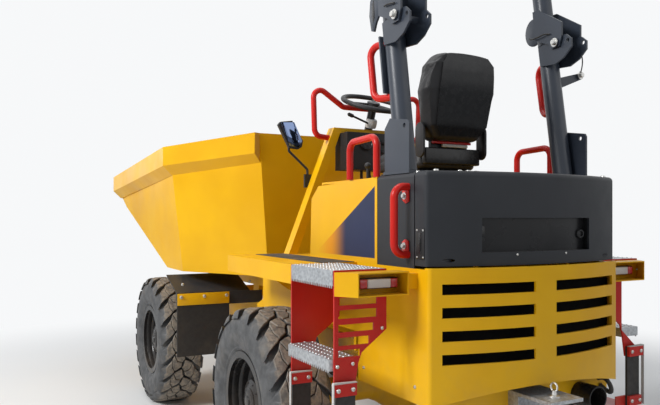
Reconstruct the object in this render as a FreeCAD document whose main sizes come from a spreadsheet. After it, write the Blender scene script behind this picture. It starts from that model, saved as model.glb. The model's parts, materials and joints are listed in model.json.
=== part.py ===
import FreeCAD, Part
import math
import os
import re
import Sketcher

# Articulated site dumper with a front tipping skip.
# Millimetres and degrees. X points forward, Y to the machine's left and Z up.
# The origin lies on the ground below the steering pivot.

doc = FreeCAD.newDocument("SiteDumper")
sheet = doc.addObject("Spreadsheet::Sheet", "Dimensions")
Vector = FreeCAD.Vector

DIMENSIONS = (
    # whole machine
    ("wheelbase", 1964),
    ("front_reach", 2190),
    ("body_half", 525),
    ("running_gap", 0.3),
    ("hinge_gap", 6),
    # wheels
    ("tyre_diameter", 915),
    ("tyre_width", 305),
    ("wheel_face", 930),
    ("rim_radius", 229),
    ("rim_flange", 19),
    ("rim_half_width", 125),
    ("rim_wall", 14),
    ("disc_thickness", 14),
    ("disc_offset", 10),
    ("hub_radius", 112),
    ("hub_face", 96),
    ("bead_inset", 7),
    ("lug_count", 20),
    ("lug_foot", 60),
    ("lug_side_depth", 40),
    ("lug_crown_fall", 8),
    ("lug_start", 58),
    ("lug_shoulder", 125),
    ("lug_span", 14.5),
    ("lug_sweep", 14.4),
    # axles
    ("axle_radius", 68),
    ("diff_radius", 150),
    ("axle_flange", 150),
    ("axle_flange_thickness", 30),
    ("axle_pad_width", 90),
    ("axle_pad_length", 190),
    # frames
    ("rail_bottom", 545),
    ("rail_top", 745),
    ("rail_outer", 330),
    ("plate", 20),
    ("rear_rail_end", 1950),
    ("rear_rail_start", 310),
    ("front_rail_start", 200),
    ("front_rail_end", 1180),
    ("front_rail_top", 800),
    ("front_nose", 1330),
    ("tongue_half", 100),
    ("pivot_radius", 90),
    ("pivot_pin", 32),
    ("pivot_lug_low", 455),
    ("pivot_lug_thickness", 30),
    ("pivot_clearance", 10),
    # skip
    ("skip_floor", 1000),
    ("skip_wall", 8),
    ("skip_top_rear", 1875),
    ("skip_top_front", 1725),
    ("skip_side_top", 918),
    ("skip_side_bottom", 822),
    ("skip_chamfer_start", 405),
    ("skip_rear_top", 290),
    ("skip_rear_bottom", 250),
    ("skip_rear_half_top", 545),
    ("skip_ramp_start", 820),
    ("skip_ramp_end", 2040),
    ("skip_ramp_top", 1455),
    ("skip_lip_height", 1540),
    ("rim_rail_out", 42),
    ("rim_rail_height", 125),
    ("rim_rail_slope", 62),
    ("tip_pivot_x", 1250),
    ("tip_pivot_z", 850),
    ("tip_pin_radius", 25),
    ("bearer_outer", 345),
    ("bearer_width", 55),
    ("bearer_height", 100),
    ("skip_lug_thickness", 20),
    # tipping ram
    ("tip_ram_base_x", 290),
    ("tip_ram_base_z", 640),
    ("tip_ram_eye_x", 950),
    ("tip_ram_eye_z", 940),
    ("tip_barrel_radius", 45),
    ("tip_barrel_end", 460),
    ("tip_bore_start", 82),
    ("tip_rod_radius", 22),
    ("tip_rod_start", 90),
    ("ram_eye_radius", 36),
    ("ram_eye_width", 50),
    ("ram_neck_radius", 22),
    ("ram_neck_end", 54),
    ("ram_pin_radius", 16),
    ("ram_lug_thickness", 15),
    # steering ram
    ("steer_ram_y", 240),
    ("steer_ram_z", 645),
    ("steer_ram_base_x", 640),
    ("steer_ram_eye_x", 40),
    ("steer_barrel_radius", 38),
    ("steer_barrel_end", 430),
    ("steer_bore_start", 72),
    ("steer_rod_radius", 18),
    ("steer_rod_start", 215),
    # platform
    ("deck_top", 1160),
    ("deck_edge", 85),
    ("deck_beam", 60),
    ("deck_sheet", 6),
    ("deck_half", 856),
    ("deck_front", 610),
    ("deck_behind_axle", 456),
    ("arch_plate_y", 604),
    ("arch_plate_thickness", 8),
    ("arch_plate_front", 493),
    ("arch_plate_low", 800),
    ("floor_front", 610),
    # body panels
    ("panel_thickness", 18),
    ("side_panel_front", 950),
    ("side_panel_rear", 1612),
    ("side_panel_top", 1540),
    ("cover_rear", 1893),
    ("cover_top", 1545),
    ("cover_width", 130),
    ("lid_corner", 1972),
    ("lid_bow", 90),
    ("lid_bottom", 1172),
    ("lid_top", 1548),
    ("lid_wall", 10),
    ("lid_neck_front", 1625),
    ("lid_hinge_x", 2000),
    ("lid_hinge_z", 1195),
    ("lid_hinge_y", 250),
    ("lid_hinge_round", 12),
    ("lid_pin", 7),
    ("lid_bar_top", 1140),
    ("edge_round", 20),
    ("recess_half", 298),
    ("recess_low", 1225),
    ("recess_top", 1362),
    ("recess_depth", 18),
    ("recess_sheet", 6),
    ("recess_flange", 8),
    ("grille_corner", 1990),
    ("grille_bow", 90),
    ("grille_wall", 10),
    ("grille_top", 1166),
    ("grille_bottom", 624),
    ("grille_arch", 60),
    ("slot_outer", 473),
    ("slot_inner", 57),
    ("slot_top", 1104),
    ("slot_pitch", 91),
    ("slot_height", 42),
    ("slot_count", 4),
    ("seat_plinth_front", 1050),
    ("engine_rear", 1905),
    ("engine_front", 1270),
    ("engine_half", 270),
    ("engine_top", 1070),
    ("engine_bottom", 600),
    # roll-over frame
    ("post_y", 455),
    ("post_tube", 90),
    ("post_lean", 8.7),
    ("post_foot_x", 1738),
    ("post_top_z", 2207),
    ("hoop_top_z", 2790),
    ("hoop_bend", 160),
    ("hoop_cheek_top", 2385),
    ("hoop_gap", 8),
    ("fold_x", 1748),
    ("fold_z", 2200),
    ("fold_pin", 14),
    ("cheek_thickness", 10),
    ("cheek_drop", 100),
    ("cheek_lap", 8),
    ("lock_reach", 90),
    ("lock_hole", 10),
    ("base_plate_thickness", 12),
    ("base_margin", 18),
    ("base_cheek_front", 1650),
    ("base_cheek_rear", 1835),
    ("base_cheek_top", 1785),
    ("post_stay_low", 2000),
    ("post_stay_root", 38),
    ("post_stay_foot", 55),
    ("post_stay_tip", 32),
    ("post_stay_set", 70),
    ("post_stay_plate", 8),
    ("post_stay_high", 2100),
    ("post_stay_end", 665),
    # operator's place
    ("seat_width", 440),
    ("seat_front", 1000),
    ("seat_rear", 1508),
    ("seat_bottom", 1592),
    ("cushion_height", 110),
    ("back_height", 2146),
    ("back_thickness", 145),
    ("back_gap", 33),
    ("back_lean", 75),
    ("seat_round", 28),
    ("dash_frame_x", 610),
    ("dash_frame_depth", 70),
    ("dash_frame_bar", 50),
    ("dash_foot_half", 525),
    ("dash_head_half", 240),
    ("dash_head_z", 1882),
    ("console_depth", 150),
    ("console_height", 215),
    ("wheel_centre_x", 720),
    ("wheel_centre_z", 2030),
    ("wheel_radius", 195),
    ("wheel_tube", 14),
    ("wheel_hub_drop", 22),
    ("wheel_tilt", 22),
    ("column_radius", 24),
    ("rail_tube", 16),
    ("rail_bend", 45),
    ("guard_rail_foot", 1822),
    ("guard_rail_top", 2130),
    ("guard_rail_middle", 2006),
    ("guard_rail_out", 125),
    ("guard_rail_dip", 70),
    ("side_rail_front", 1356),
    ("side_rail_top", 1712),
    ("cover_handle_low", 1215),
    ("cover_handle_high", 1487),
    ("cover_handle_out", 68),
    ("cover_handle_inset", 42),
    ("post_handle_low", 1885),
    ("post_handle_high", 2125),
    ("post_handle_reach", 115),
    ("lever_radius", 7),
    ("lever_knob", 16),
    ("lever_y", 350),
    ("lever_front", 1180),
    ("lever_rear", 1240),
    ("brake_lever_height", 80),
    ("tip_lever_height", 60),
    # steps
    ("step_length", 400),
    ("step_sheet", 8),
    ("step_inner", 620),
    ("step_bracket_bottom", 680),
    ("front_clamp_drop", 34),
    ("right_bracket_edge", 745),
    ("mid_tread_z", 818),
    ("mid_tread_depth", 44),
    ("tread_lap", 14),
    ("bracket_waist", 795),
    ("tread_depth", 60),
    ("strap_thickness", 12),
    # lamps, hitch and exhaust
    ("lamp_box_height", 92),
    ("lamp_box_top", 1153),
    ("lamp_box_depth", 86),
    ("lamp_box_outer", 800),
    ("lamp_width", 190),
    ("lamp_height", 42),
    ("hitch_pin_z", 662),
    ("hitch_pin_radius", 14),
    ("hitch_half", 88),
    ("hitch_length", 240),
    ("hitch_pin_inset", 70),
    # front mudguards
    ("flap_x", 200),
    ("flap_outer", 918),
    ("flap_inner", 568),
    ("flap_bottom", 465),
    ("flap_top", 800),
    ("guard_bar_top", 870),
    ("guard_top_x", 470),
    ("guard_top_z", 975),
    # details
    ("clamp_height", 48),
    ("low_step_top", 486),
    ("low_step_height", 90),
    ("low_step_width", 150),
    ("clamp_thickness", 14),
    ("clamp_width", 86),
    ("lamp_box_inner", 571),
    ("lamp_wall", 5),
    ("exhaust_radius", 54),
    ("exhaust_wall", 6),
    ("exhaust_length", 105),
    ("exhaust_y", 330),
    ("exhaust_z", 574),
)
for row, (alias, number) in enumerate(DIMENSIONS, start=1):
    sheet.set("A%d" % row, alias)
    sheet.set("B%d" % row, str(number))
    sheet.setAlias("B%d" % row, alias)
doc.recompute()
ALIASES = {alias for alias, number in DIMENSIONS}
SUBPARTS = []

PLACES = {
    # name: distance behind the origin that follows from the sizes above
    "deck_rear": "(wheelbase / 2 + deck_behind_axle)",
    "step_rear": "(wheelbase / 2 + deck_behind_axle + step_length)",
    "hitch_rear": "(rear_rail_end + hitch_length)",
}


def linked(text):
    """Write an expression's place and dimension names as references to the sheet."""
    text = re.sub(r"[a-z_]+", lambda word: PLACES.get(word[0], word[0]), str(text))
    return re.sub(r"[a-z_]+", lambda word: "Dimensions." + word[0] if word[0] in ALIASES else word[0], text)


def value(text):
    """Give the number that an expression in dimension names stands for."""
    return float(sheet.evalExpression(linked(text)))


def bind(item, **expressions):
    """Tie properties of an object to the sheet. Two underscores stand for a dot."""
    for name, text in expressions.items():
        item.setExpression(name.replace("__", "."), linked(text))
    return item


def new(kind, label):
    item = doc.addObject(kind, label)
    item.Label = label
    return item


def block(label, x, y, z):
    """A box between two values along each axis."""
    return bind(new("Part::Box", label),
                Length="(%s) - (%s)" % (x[1], x[0]),
                Width="(%s) - (%s)" % (y[1], y[0]),
                Height="(%s) - (%s)" % (z[1], z[0]),
                Placement__Base__x=x[0],
                Placement__Base__y=y[0],
                Placement__Base__z=z[0])


AXIS_TURNS = {
    "X": FreeCAD.Rotation(Vector(0, 1, 0), 90),
    "Y": FreeCAD.Rotation(Vector(1, 0, 0), -90),
    "Z": FreeCAD.Rotation(),
}


def rod(label, axis, start, length, radius):
    """A cylinder from a start point along the X, Y or Z axis."""
    item = new("Part::Cylinder", label)
    item.Placement = FreeCAD.Placement(Vector(), AXIS_TURNS[axis])
    return bind(item,
                Radius=radius,
                Height=length,
                Placement__Base__x=start[0],
                Placement__Base__y=start[1],
                Placement__Base__z=start[2])


def outline(body, label, role, points):
    """A closed sketch whose corners are tied to the sheet."""
    sketch = body.newObject("Sketcher::SketchObject", label + "_outline")
    planes = [plane for plane in body.Origin.OriginFeatures if plane.Role == role]
    sketch.AttachmentSupport = [(planes[0], "")]
    sketch.MapMode = "FlatFace"
    corners = [(value(across), value(up)) for across, up in points]
    count = len(points)
    for index, corner in enumerate(corners):
        following = corners[(index + 1) % count]
        sketch.addGeometry(Part.LineSegment(Vector(*corner, 0), Vector(*following, 0)))
    for index in range(count):
        sketch.addConstraint(Sketcher.Constraint("Coincident", index, 2, (index + 1) % count, 1))
    for index, (corner, texts) in enumerate(zip(corners, points)):
        for kind, number, text in zip(("DistanceX", "DistanceY"), corner, texts):
            place = sketch.addConstraint(Sketcher.Constraint(kind, -1, 1, index, 1, number))
            sketch.setExpression("Constraints[%d]" % place, linked(text))
    return sketch


def plate(label, plane, points, low, high):
    """A prism over a cornered outline, between two values along the plane's normal."""
    body = new("PartDesign::Body", label)
    sketch = outline(body, label, plane + "_Plane", points)
    offset = "-(%s)" % high if plane == "XZ" else low
    bind(sketch, AttachmentOffset__Base__z=offset)
    pad = body.newObject("PartDesign::Pad", label + "_pad")
    pad.Profile = sketch
    bind(pad, Length="(%s) - (%s)" % (high, low))
    return body


def turned(label, points, centre):
    """A solid of revolution about a line along Y. Points are radius and distance along Y."""
    body = new("PartDesign::Body", label)
    sketch = outline(body, label, "XY_Plane", points)
    turn = body.newObject("PartDesign::Revolution", label + "_turn")
    turn.Profile = sketch
    turn.ReferenceAxis = (sketch, ["V_Axis"])
    turn.Angle = 360
    return bind(body, Placement__Base__x=centre[0], Placement__Base__y=centre[1],
                Placement__Base__z=centre[2])


def fuse(label, pieces):
    item = new("Part::MultiFuse", label)
    item.Shapes = pieces
    return item


def cut(label, base, tools):
    item = new("Part::Cut", label)
    item.Base = base
    item.Tool = tools[0] if len(tools) == 1 else fuse(label + "_tools", tools)
    return item


def common(label, pieces):
    item = new("Part::MultiCommon", label)
    item.Shapes = pieces
    return item


def group(label, pieces):
    """Like pieces on both sides of the machine, as separate solids of one sub-part."""
    item = new("Part::Compound", label)
    item.Links = pieces
    return item


def mirrored(label, source):
    """The same piece on the other side of the machine."""
    item = new("Part::Mirroring", label)
    item.Source = source
    item.Normal = Vector(0, 1, 0)
    item.Base = Vector(0, 0, 0)
    return item


def pair(label, source):
    return group(label, [source, mirrored(label + "_right", source)])


def subpart(item):
    SUBPARTS.append(item)
    return item


def rounded(label, solid, radius, chosen):
    """The solid with some edges rounded. The choice is a test on an edge."""
    doc.recompute()
    item = new("Part::Fillet", label)
    item.Base = solid
    item.Edges = [(number, value(radius), value(radius))
                  for number, edge in enumerate(solid.Shape.Edges, start=1) if chosen(edge)]
    return item


def runs_along(edge, axis):
    """Whether an edge runs along X (0), Y (1) or Z (2)."""
    span = edge.BoundBox
    lengths = (span.XLength, span.YLength, span.ZLength)
    return lengths[axis] > 1 and sum(lengths) - lengths[axis] < 0.01


def feature(label, shape):
    """A sub-part whose shape is worked out from the sheet's numbers."""
    item = new("Part::Feature", label)
    item.Shape = shape
    return item


def bent_tube(points, bend, radius):
    """A round tube along straight runs with rounded corners. Points are numbers."""
    points = [Vector(*point) for point in points]
    edges = []
    start = points[0]
    for before, corner, after in zip(points, points[1:], points[2:]):
        to_before = (before - corner).normalize()
        to_after = (after - corner).normalize()
        half_angle = to_before.getAngle(to_after) / 2
        reach = bend / math.tan(half_angle)
        first = corner + to_before * reach
        last = corner + to_after * reach
        bisector = (to_before + to_after).normalize()
        middle = corner + bisector * (bend / math.sin(half_angle) - bend)
        edges.append(Part.LineSegment(start, first).toShape())
        edges.append(Part.Arc(first, middle, last).toShape())
        start = last
    edges.append(Part.LineSegment(start, points[-1]).toShape())
    path = Part.Wire(edges)
    profile = Part.Wire(Part.Circle(points[0], points[1] - points[0], radius).toShape())
    return path.makePipeShell([profile], True, True)


def numbers(points):
    return [tuple(value(text) for text in point) for point in points]


# Wheels

WHEELS = (
    # name, centre along X, side
    ("front_left", "wheelbase / 2", 1),
    ("front_right", "wheelbase / 2", -1),
    ("rear_left", "-wheelbase / 2", 1),
    ("rear_right", "-wheelbase / 2", -1),
)

LUG = (
    # distance from the middle, depth below the tread, front and rear angle
    ("lug_start", "0", "0", "lug_span"),
    ("lug_shoulder", "lug_crown_fall", "0.71 * lug_sweep", "lug_span + 0.6 * lug_sweep"),
    ("tyre_width / 2 - 1", "lug_side_depth", "lug_sweep", "lug_span + 0.82 * lug_sweep"),
    ("tyre_width / 2 - 5", "lug_foot", "lug_sweep", "lug_span + 0.82 * lug_sweep"),
)


def around(angle, radius, across):
    """A point round the wheel's axis, at an angle from the top towards the rear."""
    turn = math.radians(angle)
    return Vector(-radius * math.sin(turn), across, radius * math.cos(turn))


def flat_face(*corners):
    return Part.Face(Part.makePolygon(list(corners) + [corners[0]]))


def ring_strip(ring, other):
    """Triangles between two rings of corners, each a list of angles and points in order."""
    faces = []
    ring = ring + [(ring[0][0] + 360, ring[0][1])]
    other = other + [(other[0][0] + 360, other[0][1])]
    here = 0
    there = 0
    while here < len(ring) - 1 or there < len(other) - 1:
        last = there == len(other) - 1
        behind = last or (here < len(ring) - 1 and ring[here + 1][0] <= other[there + 1][0])
        if behind:
            faces.append(flat_face(ring[here][1], ring[here + 1][1], other[there][1]))
            here += 1
        else:
            faces.append(flat_face(ring[here][1], other[there + 1][1], other[there][1]))
            there += 1
    return faces


def plain_ring(radius, across):
    count = 2 * int(value("lug_count"))
    return [(360 * index / count, around(360 * index / count, radius, across)) for index in range(count)]


def lug_rows(turn, side):
    """A lug's front, middle and rear corners at each of its stations, with their angles."""
    rows = []
    for across, depth, front, rear in LUG:
        radius = value("tyre_diameter / 2") - value(depth)
        angles = (value(front), (value(front) + value(rear)) / 2, value(rear))
        rows.append([(turn + angle, around(turn + angle, radius, side * value(across))) for angle in angles])
    return rows


def lugged_half(side, turn):
    """Faces of one half of the tread, with the rings at the band and at the lugs' feet."""
    count = int(value("lug_count"))
    lugs = [lug_rows(turn + 360 * index / count, side) for index in range(count)]
    faces = []
    for index, rows in enumerate(lugs):
        for row, following in zip(rows, rows[1:]):
            for first, second in ((0, 1), (1, 2)):
                faces.append(flat_face(row[first][1], row[second][1], following[first][1]))
                faces.append(flat_face(row[second][1], following[second][1], following[first][1]))
        for edge in (0, 2):
            start, shoulder, end, foot = (row[edge][1] for row in rows)
            faces.append(flat_face(start, shoulder, end))
            faces.append(flat_face(start, end, foot))
        after = lugs[(index + 1) % count]
        faces.append(flat_face(rows[0][2][1], after[0][0][1], rows[-1][2][1]))
        faces.append(flat_face(after[0][0][1], after[-1][0][1], rows[-1][2][1]))
    band = [corner for rows in lugs for corner in rows[0]]
    feet = [corner for rows in lugs for corner in rows[-1]]
    return faces, band, feet


def tyre_shape():
    """The tyre as flat facets. Its lugs run out of a band in the middle and end on the shoulders."""
    bore = value("rim_radius + running_gap") / math.cos(math.pi / (2 * int(value("lug_count"))))
    faces = []
    bands = []
    beads = []
    for side, turn in ((1, 0), (-1, 180 / value("lug_count"))):
        half, band, feet = lugged_half(side, turn)
        wall = plain_ring(value("rim_radius + 100"), side * value("tyre_width / 2"))
        bead = plain_ring(bore, side * value("rim_half_width - bead_inset"))
        faces += half + ring_strip(feet, wall) + ring_strip(wall, bead)
        bands.append(band)
        beads.append(bead)
    faces += ring_strip(*bands) + ring_strip(*beads)
    shell = Part.makeShell(faces)
    shell.sewShape()
    solid = Part.Solid(shell)
    if solid.Volume < 0:
        solid.reverse()
    return solid


TYRE = tyre_shape()


def tyre(name, x, side):
    item = feature("tyre_" + name, TYRE)
    return bind(item,
                Placement__Base__x=x,
                Placement__Base__y="%d * (wheel_face - tyre_width / 2)" % side,
                Placement__Base__z="tyre_diameter / 2")


def rim(name, x, side):
    flange = "rim_half_width + rim_wall / 2"
    section = (
        # radius, distance from the middle, outward positive
        ("0", "disc_offset"),
        ("rim_radius - rim_wall", "disc_offset"),
        ("rim_radius - rim_wall", "-(%s)" % flange),
        ("rim_radius + rim_flange", "-(%s)" % flange),
        ("rim_radius + rim_flange", "-rim_half_width"),
        ("rim_radius", "-rim_half_width"),
        ("rim_radius", "rim_half_width"),
        ("rim_radius + rim_flange", "rim_half_width"),
        ("rim_radius + rim_flange", flange),
        ("rim_radius - rim_wall", flange),
        ("rim_radius - rim_wall", "disc_offset + disc_thickness"),
        ("hub_radius", "disc_offset + disc_thickness"),
        ("hub_radius - 8", "hub_face - 12"),
        ("hub_radius - 40", "hub_face"),
        ("0", "hub_face"),
    )
    rows = [(radius, across if side > 0 else "-(%s)" % across) for radius, across in section]
    centre_y = "%d * (wheel_face - tyre_width / 2)" % side
    return turned("rim_" + name, rows, (x, centre_y, "tyre_diameter / 2"))


for wheel_name, wheel_x, wheel_side in WHEELS:
    subpart(tyre(wheel_name, wheel_x, wheel_side))
    subpart(rim(wheel_name, wheel_x, wheel_side))


# Axles

def axle(label, x):
    z = "tyre_diameter / 2"
    reach = "wheel_face - tyre_width / 2 + disc_offset - running_gap"
    half = turned(label + "_half", (
        ("0", "0"),
        ("diff_radius", "0"),
        ("diff_radius - 10", "70"),
        ("axle_radius + 20", "150"),
        ("axle_radius", "200"),
        ("axle_radius", "(%s) - axle_flange_thickness" % reach),
        ("axle_flange", "(%s) - axle_flange_thickness" % reach),
        ("axle_flange", reach),
        ("0", reach),
    ), (x, "0", z))
    pad = block(label + "_pad",
                (x + " - axle_pad_length / 2", x + " + axle_pad_length / 2"),
                ("rail_outer - axle_pad_width", "rail_outer"),
                (z, "rail_bottom"))
    side = fuse(label + "_side", [half, pad])
    return fuse(label, [side, mirrored(label + "_right", side)])


subpart(axle("front_axle", "wheelbase / 2"))
subpart(axle("rear_axle", "-wheelbase / 2"))


# Frames and steering pivot

PIVOT_TOP = "rail_top"


def rear_frame():
    rail = block("rear_rail",
                 ("-rear_rail_end", "-rear_rail_start"),
                 ("rail_outer - plate", "rail_outer"),
                 ("rail_bottom", "rail_top"))
    rails = [rail, mirrored("rear_rail_right", rail)]
    crosses = [
        block("rear_cross_front",
              ("-rear_rail_start - plate", "-rear_rail_start"),
              ("-rail_outer", "rail_outer"),
              ("rail_bottom", "rail_top")),
        block("rear_cross_back",
              ("-rear_rail_end", "-rear_rail_end + plate"),
              ("-(body_half - panel_thickness - running_gap)", "body_half - panel_thickness - running_gap"),
              ("rail_bottom + 10", "rail_top")),
        block("engine_cross_back",
              ("-engine_rear + 30", "-engine_rear + 90"),
              ("-rail_outer", "rail_outer"),
              ("rail_bottom", "engine_bottom")),
        block("engine_cross_front",
              ("-engine_front - 90", "-engine_front - 30"),
              ("-rail_outer", "rail_outer"),
              ("rail_bottom", "engine_bottom")),
    ]
    tongue = block("rear_tongue",
                   ("-rear_rail_start", "-pivot_radius - 30"),
                   ("-tongue_half", "tongue_half"),
                   ("pivot_lug_low", "rail_top"))
    lugs = []
    for label, low, high in (
            ("rear_lug_low", "pivot_lug_low", "pivot_lug_low + pivot_lug_thickness"),
            ("rear_lug_high", PIVOT_TOP + " - pivot_lug_thickness", PIVOT_TOP)):
        lugs.append(rod(label + "_eye", "Z", ("0", "0", low), "(%s) - (%s)" % (high, low), "pivot_radius"))
        lugs.append(block(label + "_arm", ("-pivot_radius - 30", "0"), ("-pivot_radius", "pivot_radius"),
                          (low, high)))
    pin = rod("pivot_pin_body", "Z", ("0", "0", "pivot_lug_low - 12"),
              "rail_top - pivot_lug_low + 24", "pivot_pin")
    ram_lugs = []
    for label, low in (
            ("steer_base_lug_low", "steer_ram_z - ram_eye_width / 2 - 1 - ram_lug_thickness"),
            ("steer_base_lug_high", "steer_ram_z + ram_eye_width / 2 + 1")):
        ram_lugs.append(block(label,
                              ("-steer_ram_base_x - 50", "-steer_ram_base_x + 30"),
                              ("-rail_outer + plate", "-steer_ram_y + 45"),
                              (low, "(%s) + ram_lug_thickness" % low)))
    ram_pin = rod("steer_base_pin", "Z",
                  ("-steer_ram_base_x", "-steer_ram_y", "steer_ram_z - 52"), "104", "ram_pin_radius")
    uprights = []
    for label, x in (("upright_front", "-floor_front - deck_beam"), ("upright_rear", "-deck_rear + 40")):
        piece = block(label,
                      (x, "(%s) + 20" % x),
                      ("rail_outer - plate", "body_half - panel_thickness - running_gap"),
                      ("rail_top", "deck_top - deck_edge"))
        uprights += [piece, mirrored(label + "_right", piece)]
    whole = fuse("rear_frame_whole",
                 rails + crosses + [tongue] + lugs + [pin] + ram_lugs + [ram_pin] + uprights)
    window = block("steer_ram_window",
                   ("-rear_rail_start - plate - 1", "-rear_rail_start + 1"),
                   ("-rail_outer + plate", "-tongue_half - 10"),
                   ("steer_ram_z - 60", "steer_ram_z + 60"))
    return cut("rear_frame", whole, [window])


def front_frame():
    side = plate("front_rail", "XZ", (
        ("front_rail_start", "rail_bottom"),
        ("front_rail_end", "rail_bottom"),
        ("front_nose", "rail_bottom + 150"),
        ("front_nose", "tip_pivot_z + 20"),
        ("front_nose - 40", "tip_pivot_z + 60"),
        ("tip_pivot_x - 50", "tip_pivot_z + 60"),
        ("tip_pivot_x - 150", "front_rail_top"),
        ("front_rail_start", "front_rail_top"),
    ), "rail_outer - plate", "rail_outer")
    rest = block("skip_rest",
                 ("front_rail_start + 60", "front_rail_start + 160"),
                 ("rail_outer - plate - 10", "rail_outer"),
                 ("front_rail_top", "skip_floor - bearer_height - running_gap"))
    tip_pin = rod("tip_pin", "Y",
                  ("tip_pivot_x", "rail_outer - plate - 20", "tip_pivot_z"),
                  "plate + skip_lug_thickness + 30", "tip_pin_radius")
    half = fuse("front_frame_side", [side, rest, tip_pin])
    crosses = [
        block("front_cross_back",
              ("front_rail_start", "front_rail_start + plate"),
              ("-rail_outer", "rail_outer"),
              ("rail_bottom", "front_rail_top")),
        block("front_cross_nose",
              ("front_nose - plate", "front_nose"),
              ("-rail_outer", "rail_outer"),
              ("rail_bottom + 150", "tip_pivot_z - 60")),
    ]
    low = "pivot_lug_low + pivot_lug_thickness + pivot_clearance"
    high = PIVOT_TOP + " - pivot_lug_thickness - pivot_clearance"
    boss = rod("pivot_boss", "Z", ("0", "0", low), "(%s) - (%s)" % (high, low), "pivot_radius - 10")
    tongue = block("front_tongue", ("0", "front_rail_start"), ("-pivot_radius + 10", "pivot_radius - 10"),
                   (low, high))
    ram_lugs = []
    for label, base in (
            ("steer_eye_lug_low", "steer_ram_z - ram_eye_width / 2 - 4 - ram_lug_thickness"),
            ("steer_eye_lug_high", "steer_ram_z + ram_eye_width / 2 + 4")):
        ram_lugs.append(block(label,
                              ("steer_ram_eye_x - 40", "front_rail_start"),
                              ("-steer_ram_y - 45", "-steer_ram_y + 45"),
                              (base, "(%s) + ram_lug_thickness" % base)))
    tip_lugs = []
    for label, base in (("tip_base_lug_right", "-ram_eye_width / 2 - 1 - ram_lug_thickness"),
                        ("tip_base_lug_left", "ram_eye_width / 2 + 1")):
        tip_lugs.append(block(label,
                              ("front_rail_start + plate", "tip_ram_base_x + 35"),
                              (base, "(%s) + ram_lug_thickness" % base),
                              ("tip_ram_base_z - 45", "tip_ram_base_z + 45")))
    tip_base_pin = rod("tip_base_pin", "Y", ("tip_ram_base_x", "-50", "tip_ram_base_z"), "100",
                       "ram_pin_radius")
    whole = fuse("front_frame_whole",
                 [half, mirrored("front_frame_side_right", half)] + crosses + [boss, tongue]
                 + ram_lugs + tip_lugs + [tip_base_pin])
    bore = rod("pivot_bore", "Z", ("0", "0", "0"), "rail_top + 100", "pivot_pin + running_gap")
    return cut("front_frame", whole, [bore])


subpart(rear_frame())
subpart(front_frame())
subpart(block("engine",
              ("-engine_rear", "-engine_front"),
              ("-engine_half", "engine_half"),
              ("engine_bottom", "engine_top")))


# Skip

def ramp_z(x):
    """Height of the ramp's underside at a distance along X."""
    return "skip_floor + (skip_ramp_top - skip_floor) * ((%s) - skip_ramp_start)" \
           " / (skip_ramp_end - skip_ramp_start)" % x


def top_z(x):
    """Height of the skip's top edge, which falls towards the front."""
    return "skip_top_rear - (skip_top_rear - skip_top_front) * ((%s) + skip_rear_top)" \
           " / (front_reach + skip_rear_top)" % x


def tub_solid(label, wall, lift):
    """The skip's outside, or its inside when a wall is given. The inside rises by lift above the top."""
    rear_slope = "(skip_rear_top - skip_rear_bottom) / (skip_top_rear - skip_floor)"
    lip_slope = "(skip_lip_height - skip_ramp_top) / (front_reach - skip_ramp_end)"
    profile = plate(label + "_profile", "XZ", (
        ("-skip_rear_bottom + (%s)" % wall, "skip_floor + (%s)" % wall),
        ("skip_ramp_start - 0.2 * (%s)" % wall, "skip_floor + (%s)" % wall),
        ("skip_ramp_end - 0.3 * (%s)" % wall, "skip_ramp_top + 0.96 * (%s)" % wall),
        ("front_reach + (%s)" % lift, "skip_lip_height + 0.9 * (%s) + %s * (%s)" % (wall, lip_slope, lift)),
        ("front_reach + (%s)" % lift, "(%s) + (%s)" % (top_z("front_reach"), lift)),
        ("-skip_rear_top + (%s) - %s * (%s)" % (wall, rear_slope, lift), "skip_top_rear + (%s)" % lift),
    ), "-1200", "1200")
    low = value("skip_floor") - 10
    high = value("skip_top_rear") + 40
    sections = []
    for z in (low, high):
        rise = (z - value("skip_floor")) / (value("skip_top_rear") - value("skip_floor"))
        thickness = value(wall)
        spread = value("skip_side_top") - value("skip_side_bottom")
        side = value("skip_side_bottom") + spread * rise - thickness
        corner = value("skip_chamfer_start")
        rear_x = -value("skip_rear_top") - 60
        slope = (value("skip_side_top") - value("skip_rear_half_top")) / (corner + value("skip_rear_top"))
        rear_y = side - slope * (corner - rear_x)
        front_x = value("front_reach") + 60
        ring = [(front_x, side), (corner, side), (rear_x, rear_y),
                (rear_x, -rear_y), (corner, -side), (front_x, -side)]
        sections.append(Part.makePolygon([Vector(x, y, z) for x, y in ring + ring[:1]]))
    plan = feature(label + "_plan", Part.makeLoft(sections, True, True))
    return common(label, [profile, plan])


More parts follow.
